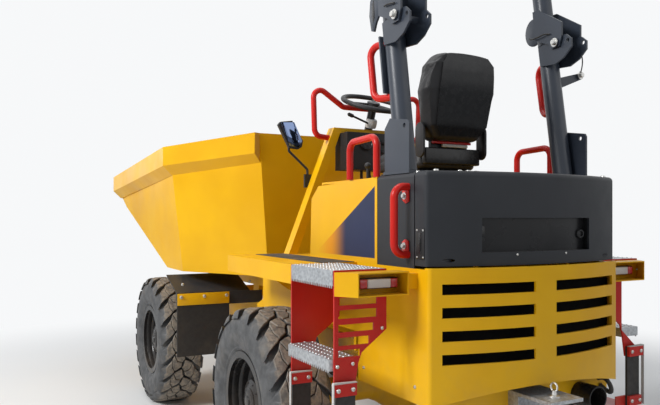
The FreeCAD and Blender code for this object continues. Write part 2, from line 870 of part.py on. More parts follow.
def rim_rail():
    """The flared rail along one side and its rear corner, as two ruled solids with a mitre."""
    side = value("skip_side_top")
    side_lean = (side - value("skip_side_bottom")) / (value("skip_top_rear") - value("skip_floor"))
    corner = value("skip_chamfer_start")
    rear = -value("skip_rear_top")
    out = value("rim_rail_out")
    turn = math.atan((side - value("skip_rear_half_top")) / (corner - rear))

    def ring(x, y, outward, lean):
        top = value(top_z(str(x)))
        foot = top - value("rim_rail_height")
        seat = foot - value("rim_rail_slope")
        offsets = (
            # distance outwards, height
            (-out, top),
            (out, top),
            (out, foot),
            (-side_lean * (top - seat) - 2, seat),
            (-out, seat),
        )
        corners = [Vector(x + outward[0] * reach + lean * (top - z), y + outward[1] * reach, z)
                   for reach, z in offsets]
        return Part.makePolygon(corners + corners[:1])

    rear_rise = value("skip_top_rear") - value("skip_floor")
    rear_lean = (value("skip_rear_top") - value("skip_rear_bottom")) / rear_rise
    front = ring(value("front_reach"), side, (0, 1), 0)
    middle = ring(corner, side, (-math.tan(turn / 2), 1), 0)
    back = ring(rear, value("skip_rear_half_top"), (-math.sin(turn), math.cos(turn)), rear_lean)
    along_side = Part.makeLoft([front, middle], True, True)
    along_corner = Part.makeLoft([middle, back], True, True)
    return fuse("rim_rail_solid", [
        feature("rim_rail_side", along_side),
        feature("rim_rail_corner", along_corner),
    ])


def skip():
    outside = tub_solid("tub_outside", "0", "0")
    inside = tub_solid("tub_inside", "skip_wall", "60")
    subpart(cut("skip_tub", outside, [inside]))
    rail = cut("rim_rail", rim_rail(), [tub_solid("tub_trim", "0", "30")])
    subpart(pair("skip_rim_rails", rail))


def skip_underframe():
    bearer = block("skip_bearer",
                   ("-skip_rear_bottom + 40", "skip_ramp_start"),
                   ("bearer_outer - bearer_width", "bearer_outer"),
                   ("skip_floor - bearer_height", "skip_floor"))
    lug_x = ("tip_pivot_x - 230", "tip_pivot_x + 200")
    lug = plate("skip_hinge_lug", "XZ", (
        ("skip_ramp_start", "skip_floor - bearer_height"),
        ("tip_pivot_x - 40", "tip_pivot_z - 45"),
        ("tip_pivot_x + 40", "tip_pivot_z - 45"),
        (lug_x[1], ramp_z(lug_x[1])),
        ("skip_ramp_start", ramp_z("skip_ramp_start")),
    ), "rail_outer + 3", "rail_outer + 3 + skip_lug_thickness")
    side = fuse("skip_underframe_side", [bearer, lug])
    clevis = []
    for label, base in (("tip_eye_lug_right", "-ram_eye_width / 2 - 4 - ram_lug_thickness"),
                        ("tip_eye_lug_left", "ram_eye_width / 2 + 4")):
        clevis.append(plate(label, "XZ", (
            ("tip_ram_eye_x - 60", ramp_z("tip_ram_eye_x - 60")),
            ("tip_ram_eye_x - 35", "tip_ram_eye_z - 35"),
            ("tip_ram_eye_x + 35", "tip_ram_eye_z - 35"),
            ("tip_ram_eye_x + 60", ramp_z("tip_ram_eye_x + 60")),
        ), base, "(%s) + ram_lug_thickness" % base))
    cross = block("skip_cross",
                  ("skip_ramp_start - 80", "skip_ramp_start"),
                  ("-bearer_outer + bearer_width", "bearer_outer - bearer_width"),
                  ("skip_floor - 60", "skip_floor"))
    whole = fuse("skip_underframe_whole", [side, mirrored("skip_underframe_right", side), cross] + clevis)
    bore = rod("tip_bore", "Y", ("tip_pivot_x", "-500", "tip_pivot_z"), "1000",
               "tip_pin_radius + running_gap")
    return cut("skip_underframe", whole, [bore])


skip()
subpart(skip_underframe())


# Rams

def ram(label, origin, turn_axis, turn_angle, length, barrel, rod_sizes, eye_axis):
    """A barrel and a rod along local X, then turned and moved to the base pin."""
    barrel_radius, barrel_end, bore_start = barrel
    rod_radius, rod_start = rod_sizes
    if eye_axis == "Y":
        eye_start = ("0", "-ram_eye_width / 2", "0")
        far_start = (length, "-ram_eye_width / 2", "0")
    else:
        eye_start = ("0", "0", "-ram_eye_width / 2")
        far_start = (length, "0", "-ram_eye_width / 2")
    barrel_body = fuse(label + "_barrel_solid", [
        rod(label + "_barrel_tube", "X", ("ram_neck_end", "0", "0"),
            "%s - ram_neck_end" % barrel_end, barrel_radius),
        rod(label + "_neck", "X", ("ram_eye_radius - 6", "0", "0"),
            "ram_neck_end - ram_eye_radius + 6", "ram_neck_radius"),
        rod(label + "_base_eye", eye_axis, eye_start, "ram_eye_width", "ram_eye_radius")])
    barrel_cut = cut(label + "_barrel_cut", barrel_body, [
        rod(label + "_bore", "X", (bore_start, "0", "0"), barrel_end, rod_radius + " + running_gap"),
        rod(label + "_base_pin_bore", eye_axis,
            (eye_start[0], "2 * (%s)" % eye_start[1], "2 * (%s)" % eye_start[2]),
            "2 * ram_eye_width", "ram_pin_radius + running_gap")])
    rod_body = cut(label + "_rod_cut",
                   fuse(label + "_rod_solid", [
                       rod(label + "_rod_bar", "X", (rod_start, "0", "0"),
                           "%s - %s - ram_eye_radius + 6" % (length, rod_start), rod_radius),
                       rod(label + "_rod_eye", eye_axis, far_start, "ram_eye_width", "ram_eye_radius")]),
                   [rod(label + "_rod_pin_bore", eye_axis,
                        (far_start[0], "2 * (%s)" % far_start[1], "2 * (%s)" % far_start[2]),
                        "2 * ram_eye_width", "ram_pin_radius + running_gap")])
    for name, source in ((label + "_barrel", barrel_cut), (label + "_rod", rod_body)):
        item = new("Part::Compound", name)
        item.Links = [source]
        item.Placement = FreeCAD.Placement(Vector(), FreeCAD.Rotation(turn_axis, 1))
        bind(item,
             Placement__Rotation__Angle=turn_angle,
             Placement__Base__x=origin[0],
             Placement__Base__y=origin[1],
             Placement__Base__z=origin[2])
        subpart(item)


ram("tip_ram",
    ("tip_ram_base_x", "0", "tip_ram_base_z"),
    Vector(0, -1, 0),
    "atan((tip_ram_eye_z - tip_ram_base_z) / (tip_ram_eye_x - tip_ram_base_x))",
    "sqrt((tip_ram_eye_x - tip_ram_base_x) ^ 2 + (tip_ram_eye_z - tip_ram_base_z) ^ 2)",
    ("tip_barrel_radius", "tip_barrel_end", "tip_bore_start"),
    ("tip_rod_radius", "tip_rod_start"),
    "Y")
ram("steering_ram",
    ("-steer_ram_base_x", "-steer_ram_y", "steer_ram_z"),
    Vector(0, 0, 1),
    "0",
    "steer_ram_base_x + steer_ram_eye_x",
    ("steer_barrel_radius", "steer_barrel_end", "steer_bore_start"),
    ("steer_rod_radius", "steer_rod_start"),
    "Z")


# Platform

def platform():
    inside = "body_half"
    top = block("deck_sheet_top", ("-deck_rear", "-deck_front"), (inside, "deck_half"),
                ("deck_top - deck_sheet", "deck_top"))
    edges = [
        block("deck_edge_outer", ("-deck_rear", "-deck_front"), ("deck_half - deck_sheet", "deck_half"),
              ("deck_top - deck_edge", "deck_top")),
        block("deck_edge_front", ("-deck_front - deck_sheet", "-deck_front"), (inside, "deck_half"),
              ("deck_top - deck_edge", "deck_top")),
        block("deck_edge_rear", ("-deck_rear", "-deck_rear + deck_sheet"), (inside, "deck_half"),
              ("deck_top - deck_edge", "deck_top")),
        block("deck_edge_inner", ("-deck_rear", "-deck_front"), (inside, inside + " + deck_sheet"),
              ("deck_top - deck_edge", "deck_top")),
    ]
    wing = fuse("deck_wing", [top] + edges)
    floor = block("deck_floor", ("-deck_rear", "-floor_front"), ("-body_half", "body_half"),
                  ("deck_top - deck_sheet", "deck_top"))
    beam_front = block("deck_beam_front", ("-floor_front - deck_beam", "-floor_front"),
                       ("-body_half", "body_half"), ("deck_top - deck_edge", "deck_top"))
    beam_rear = block("deck_beam_rear", ("-deck_rear", "-deck_rear + deck_beam"), ("-body_half", "body_half"),
                      ("deck_top - deck_edge", "deck_top"))
    return fuse("platform", [wing, mirrored("deck_wing_right", wing), floor, beam_front, beam_rear])


def deck_braces():
    """Gussets under the deck that stand on the body side, with the plates inside the wheels."""
    brace = plate("deck_brace", "YZ", (
        ("body_half", "tyre_diameter + 30"),
        ("body_half + 60", "tyre_diameter + 30"),
        ("deck_half - 110", "deck_top - deck_edge - 20"),
        ("deck_half - 110", "deck_top - deck_edge"),
        ("body_half", "deck_top - deck_edge"),
    ), "-wheelbase / 2 - 6", "-wheelbase / 2 + 6")
    arch = plate("arch_plate", "XZ", (
        ("-wheelbase / 2", "arch_plate_low"),
        ("-arch_plate_front + 90", "arch_plate_low"),
        ("-arch_plate_front + 90", "tyre_diameter - 55"),
        ("-arch_plate_front", "tyre_diameter - 20"),
        ("-arch_plate_front", "deck_top - deck_edge - 5"),
        ("-deck_front", "deck_top - deck_edge"),
        ("-wheelbase / 2", "deck_top - deck_edge"),
    ), "arch_plate_y - arch_plate_thickness", "arch_plate_y")
    return pair("deck_braces", fuse("deck_brace_with_arch", [brace, arch]))


subpart(platform())
subpart(deck_braces())


# Body panels

def side_panels():
    panel = plate("side_panel", "XZ", (
        ("-side_panel_rear", "deck_top"),
        ("-side_panel_front", "deck_top"),
        ("-side_panel_front - 15", "side_panel_top - 80"),
        ("-side_panel_front - 95", "side_panel_top - 18"),
        ("-side_panel_rear", "side_panel_top"),
    ), "body_half - panel_thickness", "body_half")
    return pair("side_panels", panel)


def rear_covers():
    cover = block("rear_cover",
                  ("-cover_rear", "-side_panel_rear - 4"),
                  ("body_half - cover_width", "body_half"),
                  ("deck_top", "cover_top"))
    cover = rounded("rear_cover_rounded", cover, "edge_round", lambda edge: (
        runs_along(edge, 0) and edge.BoundBox.YMax > value("body_half") - 1
        and edge.BoundBox.ZMin > value("cover_top") - 1))
    room = block("rear_cover_room",
                 ("-cover_rear - 1", "-side_panel_rear - 4 - lid_wall"),
                 ("body_half - cover_width - 1", "body_half - lid_wall"),
                 ("deck_top - 1", "cover_top - lid_wall"))
    return pair("rear_covers", cut("rear_cover_shell", cover, [room]))


def lower_panels():
    skirt = block("arch_skirt",
                  ("-deck_rear - 12", "-floor_front"),
                  ("body_half - panel_thickness", "body_half"),
                  ("tyre_diameter - 70", "deck_top - deck_edge"))
    panel = block("lower_panel",
                  ("-grille_corner + 25", "-deck_rear - 12"),
                  ("body_half - panel_thickness", "body_half"),
                  ("grille_bottom", "deck_top - deck_edge"))
    upper = block("lower_panel_upper",
                  ("-grille_corner + 25", "-deck_rear"),
                  ("body_half - panel_thickness", "body_half"),
                  ("deck_top - deck_edge", "deck_top"))
    side = fuse("lower_side", [skirt, panel, upper])
    return pair("lower_panels", side)


def lid_hinge():
    """A bar between the side panels with an arm and a pin for each of the lid's lugs."""
    inner = "body_half - panel_thickness"
    bar_rear = "-cover_rear - 60"
    bar = block("lid_bar", (bar_rear, bar_rear + " + 20"), ("-(%s)" % inner, inner),
                ("lid_bar_top - 40", "lid_bar_top"))
    arm = plate("lid_arm", "XZ", (
        ("-lid_hinge_x - lid_hinge_round", "lid_hinge_z - lid_hinge_round"),
        ("-lid_hinge_x - lid_hinge_round", "lid_hinge_z + lid_hinge_round"),
        (bar_rear + " + 20", "lid_hinge_z + lid_hinge_round"),
        (bar_rear + " + 20", "lid_bar_top"),
        (bar_rear, "lid_bar_top"),
        (bar_rear, "lid_hinge_z - lid_hinge_round"),
    ), "lid_hinge_y", "lid_hinge_y + 12")
    pin = rod("lid_pin_left", "Y", ("-lid_hinge_x", "lid_hinge_y", "lid_hinge_z"), "12 + 16", "lid_pin")
    side = fuse("lid_hinge_left", [arm, pin])
    return fuse("lid_hinge", [bar, side, mirrored("lid_hinge_right", side)])


def bowed_plan(label, corner, bow, half, front, low, high, inset):
    """A prism whose rear face is an arc in plan. Numbers come from the sheet."""
    corner_x = -value(corner) + inset
    middle_x = -(value(corner) + value(bow)) + inset
    side = value(half) - inset
    left = Vector(corner_x, side, value(low))
    middle = Vector(middle_x, 0, value(low))
    right = Vector(corner_x, -side, value(low))
    front_x = -value(front)
    ring = [
        Part.Arc(left, middle, right).toShape(),
        Part.LineSegment(right, Vector(front_x, -side, value(low))).toShape(),
        Part.LineSegment(Vector(front_x, -side, value(low)), Vector(front_x, side, value(low))).toShape(),
        Part.LineSegment(Vector(front_x, side, value(low)), left).toShape(),
    ]
    solid = Part.Face(Part.Wire(ring)).extrude(Vector(0, 0, value(high) - value(low)))
    return feature(label, solid)


def grille_panel():
    outside = bowed_plan("grille_outside", "grille_corner", "grille_bow", "body_half", "grille_corner - 25",
                         "grille_bottom", "grille_top", 0)
    outside = rounded("grille_rounded", outside, "edge_round", lambda edge: (
        runs_along(edge, 2) and edge.BoundBox.XMax < -value("grille_corner") + 1))
    inside = bowed_plan("grille_inside", "grille_corner", "grille_bow", "body_half", "grille_corner - 60",
                        "grille_bottom - 5", "grille_top + 5", value("grille_wall"))
    tools = [inside]
    for index in range(int(value("slot_count"))):
        top = "slot_top - %d * slot_pitch" % index
        for label, left, right in (("left", "slot_inner", "slot_outer"),
                                   ("right", "-slot_outer", "-slot_inner")):
            tools.append(block("grille_slot_%s_%d" % (label, index),
                               ("-grille_corner - grille_bow - 20", "-grille_corner + 24"),
                               (left, right),
                               (top + " - slot_height", top)))
    arch_radius = "(body_half ^ 2 + grille_arch ^ 2) / (2 * grille_arch)"
    tools.append(rod("grille_arch_tool", "X",
                     ("-grille_corner - grille_bow - 20", "0",
                      "grille_bottom + grille_arch - (%s)" % arch_radius),
                     "grille_bow + 60", arch_radius))
    return cut("grille_panel", outside, tools)


def lid_edge(edge):
    """The edges of the lid that are rounded: its rear corners and the rim of its top."""
    span = edge.BoundBox
    front = -value("cover_rear + hinge_gap")
    upright = runs_along(edge, 2) and span.XMax < front - 1
    on_top = span.ZMin > value("lid_top") - 1 and span.XMin < front - 1
    return upright or on_top


def lid_layer(label, inset):
    """A prism with the lid's plan, set in from its outer face."""
    return bowed_plan(label, "lid_corner", "lid_bow", "body_half", "cover_rear + hinge_gap",
                      "lid_bottom", "lid_top", value(inset))


def recess_block(label, margin):
    return block(label,
                 ("-lid_corner - lid_bow - 5", "-cover_rear - 30"),
                 ("-recess_half - (%s)" % margin, "recess_half + (%s)" % margin),
                 ("recess_low - (%s)" % margin, "recess_top + (%s)" % margin))


def lid_recess():
    """The tray behind the opening in the lid's rear face."""
    tray = common("recess_tray", [
        lid_layer("recess_tray_plan", "lid_wall"),
        recess_block("recess_tray_block", "recess_flange"),
    ])
    behind = lid_layer("recess_behind", "lid_wall + recess_depth + recess_sheet")
    pocket = cut("recess_pocket", recess_block("recess_room", "0"),
                 [lid_layer("recess_floor", "lid_wall + recess_depth")])
    return cut("lid_recess", tray, [behind, pocket])


def lid():
    neck_half = "post_y - post_tube / 2 - base_margin - hinge_gap"
    outside = bowed_plan("lid_outside", "lid_corner", "lid_bow", "body_half", "cover_rear + hinge_gap",
                         "lid_bottom", "lid_top", 0)
    outside = rounded("lid_rounded", outside, "edge_round", lid_edge)
    neck = block("lid_neck",
                 ("-cover_rear - hinge_gap - lid_wall", "-lid_neck_front"),
                 ("-(%s)" % neck_half, neck_half),
                 ("lid_top - 60", "lid_top"))
    inside = bowed_plan("lid_inside", "lid_corner", "lid_bow", "body_half", "cover_rear - 5",
                        "lid_bottom - 5", "lid_top - lid_wall", value("lid_wall"))
    neck_inside = block("lid_neck_inside",
                        ("-cover_rear - hinge_gap - 2 * lid_wall", "-lid_neck_front - lid_wall"),
                        ("-(%s - lid_wall)" % neck_half, neck_half + " - lid_wall"),
                        ("lid_top - 70", "lid_top - lid_wall"))
    lug = common("lid_lug", [
        lid_layer("lid_lug_room", "lid_wall - 1"),
        block("lid_lug_block",
              ("-lid_corner - lid_bow", "-lid_hinge_x + lid_hinge_round"),
              ("lid_hinge_y + 12 + running_gap", "lid_hinge_y + 12 + running_gap + 12"),
              ("lid_bottom", "lid_hinge_z + lid_hinge_round"))])
    bore = rod("lid_bore", "Y", ("-lid_hinge_x", "-body_half - 1", "lid_hinge_z"), "2 * body_half + 2",
               "lid_pin + running_gap")
    shell = cut("lid_shell", fuse("lid_solid", [outside, neck]), [inside, neck_inside])
    return cut("engine_lid", fuse("lid_with_lugs", [shell, lug, mirrored("lid_lug_right", lug)]),
               [bore, recess_block("recess_opening", "0")])


subpart(side_panels())
subpart(rear_covers())
subpart(lower_panels())
subpart(lid_hinge())
subpart(grille_panel())
subpart(lid())
subpart(lid_recess())


def seat_plinth():
    inner = "body_half - panel_thickness - running_gap"
    front = block("plinth_front",
                  ("-seat_plinth_front - 10", "-seat_plinth_front"),
                  ("-(%s)" % inner, inner),
                  ("deck_top", "cover_top - 5"))
    top = block("plinth_top",
                ("-side_panel_rear", "-seat_plinth_front"),
                ("-(%s)" % inner, inner),
                ("cover_top - 15", "cover_top - 5"))
    return fuse("seat_plinth", [front, top])


subpart(seat_plinth())


# Roll-over frame

def lean_x(z):
    """Middle of the leaning post at a height."""
    return "-post_foot_x + ((%s) - cover_top) * tan(post_lean)" % z


def post_tube(label):
    """The leaning tube of the left post."""
    heights = ("cover_top + base_plate_thickness", "post_top_z")
    start, end = numbers([(lean_x(z), "post_y", z) for z in heights])
    axis = Vector(*end) - Vector(*start)
    return feature(label, Part.makeCylinder(value("post_tube") / 2, axis.Length, Vector(*start), axis))


def rops_posts():
    tube = post_tube("post_tube_left")
    base = block("post_base",
                 ("-base_cheek_rear - 10", "-base_cheek_front"),
                 ("post_y - post_tube / 2 - base_margin", "post_y + post_tube / 2 + base_margin"),
                 ("cover_top", "cover_top + base_plate_thickness"))
    foot = plate("base_cheek", "XZ", (
        ("-base_cheek_rear", "cover_top + base_plate_thickness"),
        ("-base_cheek_front", "cover_top + base_plate_thickness"),
        ("-base_cheek_front", "base_cheek_top - 42"),
        ("-base_cheek_front - 40", "base_cheek_top"),
        ("-base_cheek_rear + 8", "base_cheek_top - 22"),
        ("-base_cheek_rear", "base_cheek_top - 36"),
    ), "post_y + post_tube / 2", "post_y + post_tube / 2 + cheek_thickness")
    cheeks = []
    for label, low in (("outer", "post_y + post_tube / 2"),
                       ("inner", "post_y - post_tube / 2 - cheek_thickness")):
        cheek = plate("fold_cheek_" + label, "XZ", (
            (lean_x("post_top_z") + " + cheek_lap", "post_top_z - 3"),
            (lean_x("post_top_z - cheek_drop") + " + cheek_lap", "post_top_z - cheek_drop"),
            ("-fold_x + 12", "post_top_z - cheek_drop - 5"),
            ("-fold_x - 45", "fold_z - 75"),
            ("-fold_x - lock_reach", "fold_z - 35"),
            ("-fold_x - lock_reach", "fold_z + 5"),
            ("-fold_x - 60", "fold_z + 30"),
            ("-fold_x - 20", "fold_z + 30"),
        ), low, "(%s) + cheek_thickness" % low)
        cheeks.append(cheek)
    pin = rod("fold_pin_left", "Y",
              ("-fold_x", "post_y - post_tube / 2 - 3 * cheek_thickness", "fold_z"),
              "post_tube + 6 * cheek_thickness", "fold_pin")
    whole = fuse("rops_post_whole", [tube, base, foot, pin] + cheeks)
    left = cut("rops_post", whole, [
        rod("lock_bore", "Y", ("-fold_x - lock_reach + 20", "0", "fold_z"), "700", "lock_hole"),
        rod("foot_bore", "Y", ("-base_cheek_rear + 35", "0", "base_cheek_top - 42"), "700", "lock_hole"),
    ])
    stay = plate("post_stay", "YZ", (
        ("-post_y - post_stay_root", "post_stay_low"),
        ("-post_y - post_stay_root", "post_stay_low + post_stay_foot"),
        ("-post_stay_end", "post_stay_high"),
        ("-post_stay_end", "post_stay_high - post_stay_tip"),
    ), "-post_foot_x + post_stay_set", "-post_foot_x + post_stay_set + post_stay_plate")
    right = fuse("rops_post_with_stay", [mirrored("rops_post_right", left), stay])
    return group("rops_posts", [left, right])


def rops_hoop():
    start_z = "post_top_z + hoop_gap"
    corner_z = "hoop_top_z - post_tube / 2"
    path = numbers([
        (lean_x(start_z), "post_y", start_z),
        (lean_x(corner_z), "post_y", corner_z),
        (lean_x(corner_z), "-post_y", corner_z),
        (lean_x(start_z), "-post_y", start_z),
    ])
    tube = feature("hoop_tube", bent_tube(path, value("hoop_bend"), value("post_tube") / 2))
    cheeks = []
    for label, low in (("outer", "post_y + post_tube / 2 + cheek_thickness + 2"),
                       ("inner", "post_y - post_tube / 2 - 2 * cheek_thickness - 2")):
        cheeks.append(plate("hoop_cheek_" + label, "XZ", (
            ("-fold_x - 28", "fold_z - 20"),
            ("-fold_x + 24", "fold_z - 24"),
            ("-fold_x + 40", "fold_z"),
            (lean_x("post_top_z + 60") + " + cheek_lap", "post_top_z + 30"),
            (lean_x("hoop_cheek_top") + " + cheek_lap", "hoop_cheek_top"),
            (lean_x("hoop_cheek_top") + " - 30", "hoop_cheek_top"),
            ("-fold_x - 42", "fold_z + 92"),
            ("-fold_x - 42", "fold_z + 20"),
        ), low, "(%s) + cheek_thickness" % low))
        spacer_low = "post_y + post_tube / 2 - 30"
        if label == "inner":
            spacer_low = "post_y - post_tube / 2 - cheek_thickness - 3"
        cheeks.append(block("hoop_spacer_" + label,
                            (lean_x("post_top_z + 60") + " - 25", lean_x("post_top_z + 60") + " + 25"),
                            (spacer_low, "(%s) + cheek_thickness + 33" % spacer_low),
                            ("post_top_z + 50", "post_top_z + 110")))
    side = fuse("hoop_brackets", cheeks)
    whole = fuse("hoop_whole", [tube, side, mirrored("hoop_brackets_right", side)])
    bore = rod("fold_bore", "Y", ("-fold_x", "-700", "fold_z"), "1400", "fold_pin + running_gap")
    return cut("rops_hoop", whole, [bore])


subpart(rops_posts())
subpart(rops_hoop())


# Operator's place

SEAT_BACK = (
    # shares of the back's height, lean, thickness, half width and the rear shell's half width
    (0.00, 0.00, 0.81, 0.62, 0.53),
    (0.16, 0.30, 0.90, 0.80, 0.70),
    (0.57, 0.83, 1.00, 0.98, 0.74),
    (0.86, 1.03, 0.93, 0.91, 0.70),
    (1.00, 0.90, 0.72, 0.70, 0.56),
)


def seat_back():
    """The leaning back: a six-sided section that widens to the middle and closes in at the top."""
    low = value("seat_bottom + cushion_height + back_gap")
    half = value("seat_width") / 2
    rings = []
    for rise, lean, thickness, width, shell in SEAT_BACK:
        z = low + rise * (value("back_height") - low)
        rear = -value("seat_rear") - lean * value("back_lean")
        depth = thickness * value("back_thickness")
        side = width * half
        corners = ((rear, shell * half), (rear + 0.37 * depth, side), (rear + depth, 0.93 * side))
        ring = [Vector(x, y, z) for x, y in corners]
        ring += [Vector(x, -y, z) for x, y in reversed(corners)]
        rings.append(Part.makePolygon(ring + ring[:1]))
    return feature("seat_back", Part.makeLoft(rings, True, True))


def seat():
    half = "seat_width * 0.43"
    cushion = block("seat_cushion", ("-seat_rear + 60", "-seat_front"), ("-(%s)" % half, half),
                    ("seat_bottom", "seat_bottom + cushion_height"))
    cushion = rounded("cushion_rounded", cushion, "seat_round", lambda edge: (
        edge.BoundBox.ZMin > value("seat_bottom") + 1 or runs_along(edge, 2)))
    stem = block("seat_stem", ("-seat_rear + 70", "-seat_rear + 95"), ("-110", "110"),
                 ("seat_bottom + cushion_height - 20", "seat_bottom + cushion_height + back_gap + 10"))
    return fuse("seat", [cushion, stem, seat_back()])


def dash_outside(label):
    return plate(label, "YZ", (
        ("-dash_foot_half", "deck_top"),
        ("dash_foot_half", "deck_top"),
        ("dash_head_half", "dash_head_z"),
        ("-dash_head_half", "dash_head_z"),
    ), "-dash_frame_x - dash_frame_depth", "-dash_frame_x")


def dash_frame():
    outer = dash_outside("dash_outer")
    inner = plate("dash_inner", "YZ", (
        ("-dash_foot_half + dash_frame_bar", "deck_top - 1"),
        ("dash_foot_half - dash_frame_bar", "deck_top - 1"),
        ("dash_head_half - dash_frame_bar * 0.8", "dash_head_z - dash_frame_bar * 0.6"),
        ("-dash_head_half + dash_frame_bar * 0.8", "dash_head_z - dash_frame_bar * 0.6"),
    ), "-dash_frame_x - dash_frame_depth - 1", "-dash_frame_x + 1")
    return cut("dash_frame", outer, [inner])


def console():
    top = "dash_head_z - dash_frame_bar * 0.6"
    half = "dash_head_half - dash_frame_bar * 0.8 - 2"
    return block("console",
                 ("-dash_frame_x - console_depth", "-dash_frame_x - 5"),
                 ("-(%s)" % half, half),
                 ("%s - console_height" % top, top))


subpart(block("seat_base",
              ("-seat_rear + 70", "-seat_front - 60"),
              ("-160", "160"),
              ("cover_top - 5", "seat_bottom")))
subpart(seat())
subpart(dash_frame())
subpart(console())


def steering():
    tilt = math.radians(value("wheel_tilt"))
    centre = Vector(-value("wheel_centre_x"), 0, value("wheel_centre_z"))
    axis = Vector(-math.sin(tilt), 0, math.cos(tilt))
    ring = Part.makeTorus(value("wheel_radius") - value("wheel_tube"), value("wheel_tube"), centre, axis)
    hub = Part.makeCylinder(38, 30, centre - axis * value("wheel_hub_drop"), axis)
    wheel = ring.fuse(hub)
    spoke_length = value("wheel_radius") - value("wheel_tube")
    for angle in (90, 210, 330):
        direction = FreeCAD.Rotation(axis, angle).multVec(Vector(math.cos(tilt), 0, math.sin(tilt)))
        wheel = wheel.fuse(Part.makeCylinder(9, spoke_length, centre - axis * 7, direction))
    subpart(feature("steering_wheel", wheel))
    head = centre - axis * (value("wheel_hub_drop") + value("running_gap"))
    foot_length = 190
    column = Part.makeCylinder(value("column_radius"), foot_length, head - axis * foot_length, axis)
    column_item = feature("column_solid", column)
    trim = block("column_trim", ("-2000", "0"), ("-500", "500"), ("0", "dash_head_z"))
    subpart(cut("steering_column", column_item, [trim]))


steering()


LEVERS = (
    # name, place along X, place along Y, height
    ("brake", "-lever_rear", "lever_y", "brake_lever_height"),
    ("tip_front", "-lever_front", "-lever_y", "tip_lever_height"),
    ("tip_rear", "-lever_rear", "-lever_y", "tip_lever_height"),
)


def levers():
    pieces = []
    for label, x, y, height in LEVERS:
        stem = rod("lever_stem_" + label, "Z", (x, y, "cover_top - 5"), height, "lever_radius")
        ball = new("Part::Sphere", "lever_ball_" + label)
        bind(ball, Radius="lever_knob", Placement__Base__x=x, Placement__Base__y=y,
             Placement__Base__z="cover_top - 5 + %s" % height)
        pieces.append(fuse("lever_" + label, [stem, ball]))
    return group("levers", pieces)


subpart(levers())


# Red rails and grab handles

GUARD_RAIL = (
    # half of the rail in front of the steering wheel, from its foot to the middle
    ("-dash_frame_x - 40", "dash_head_half + 2", "guard_rail_foot"),
    ("-dash_frame_x - 50", "dash_head_half + guard_rail_out - 10", "guard_rail_foot + 8"),
    ("-dash_frame_x - 50", "dash_head_half + guard_rail_out", "guard_rail_top"),
    ("-dash_frame_x - 50", "dash_head_half - guard_rail_dip", "guard_rail_middle"),
)

SIDE_RAIL = (
    ("-side_rail_front", "body_half - panel_thickness / 2", "cover_top - 5"),
    ("-side_rail_front", "body_half - panel_thickness / 2", "side_rail_top"),
    ("-side_panel_rear + rail_tube + 1", "body_half - panel_thickness / 2", "side_rail_top + 8"),
    ("-side_panel_rear + rail_tube + 1", "body_half - panel_thickness / 2", "cover_top - 5"),
)

COVER_HANDLE = (
    ("-cover_rear + cover_handle_inset", "body_half", "cover_handle_low"),
    ("-cover_rear + cover_handle_inset", "body_half + cover_handle_out", "cover_handle_low"),
    ("-cover_rear + cover_handle_inset", "body_half + cover_handle_out", "cover_handle_high"),
    ("-cover_rear + cover_handle_inset", "body_half", "cover_handle_high"),
)

POST_HANDLE = (
    ("-post_foot_x + 65", "post_y + 10", "post_handle_low"),
    ("-post_foot_x + 65 + post_handle_reach", "post_y + 50", "post_handle_low"),
    ("-post_foot_x + 105 + post_handle_reach", "post_y + 50", "post_handle_high"),
    ("-post_foot_x + 105", "post_y + 10", "post_handle_high"),
)


def tube(label, points):
    return feature(label, bent_tube(numbers(points), value("rail_bend"), value("rail_tube")))


def handrails():
    across = [(x, "-(%s)" % y, z) for x, y, z in reversed(GUARD_RAIL)]
    guard = cut("guard_rail", tube("guard_rail_tube", list(GUARD_RAIL) + across), [dash_outside("dash_trim")])
    return group("handrails", [guard, pair("side_rails", tube("side_rail", SIDE_RAIL))])


def post_handles():
    handle = cut("post_handle", tube("post_handle_tube", POST_HANDLE), [post_tube("post_trim")])
    return pair("post_handles", handle)


subpart(handrails())
subpart(pair("cover_handles", tube("cover_handle", COVER_HANDLE)))
subpart(post_handles())


# Mirror

def mirror():
    head = plate("mirror_head", "YZ", (
        ("562", "1885"),
        ("548", "1902"),
        ("478", "1912"),
        ("410", "1800"),
        ("418", "1766"),
        ("440", "1752"),
        ("495", "1758"),
    ), "-dash_frame_x - 12", "-dash_frame_x + 12")
    arm_x = "-dash_frame_x + 10"
    arm = feature("mirror_arm", bent_tube(numbers((
        (arm_x, "490", "1780"),
        (arm_x, "490", "1742"),
        (arm_x, "372", "1640"),
        (arm_x, "372", "1550"),
    )), 18, 7))
    clamp = block("mirror_clamp", ("-dash_frame_x", "-dash_frame_x + 18"), ("350", "392"), ("1536", "1612"))
    return fuse("mirror", [head, arm, clamp])


subpart(mirror())


# Steps

STEP_SLOTS = (
    # low, high, inner end
    (1024, 1053, 665),
    (972, 1006, 665),
    (920, 950, 680),
    (868, 900, 700),
    (824, 852, 740),
)


def step_sheet_body(label, x, low):
    """One step plate of the left side, down to a height."""
    return plate(label, "YZ", (
        ("deck_half", "deck_top"),
        ("deck_half", low),
        ("deck_half - clamp_width", low),
        ("deck_half - 106", "bracket_waist"),
        ("deck_half - 122", "bracket_waist + 42"),
        ("step_inner", "bracket_waist + 125"),
        ("step_inner", "deck_top"),
    ), x, x + " + step_sheet")


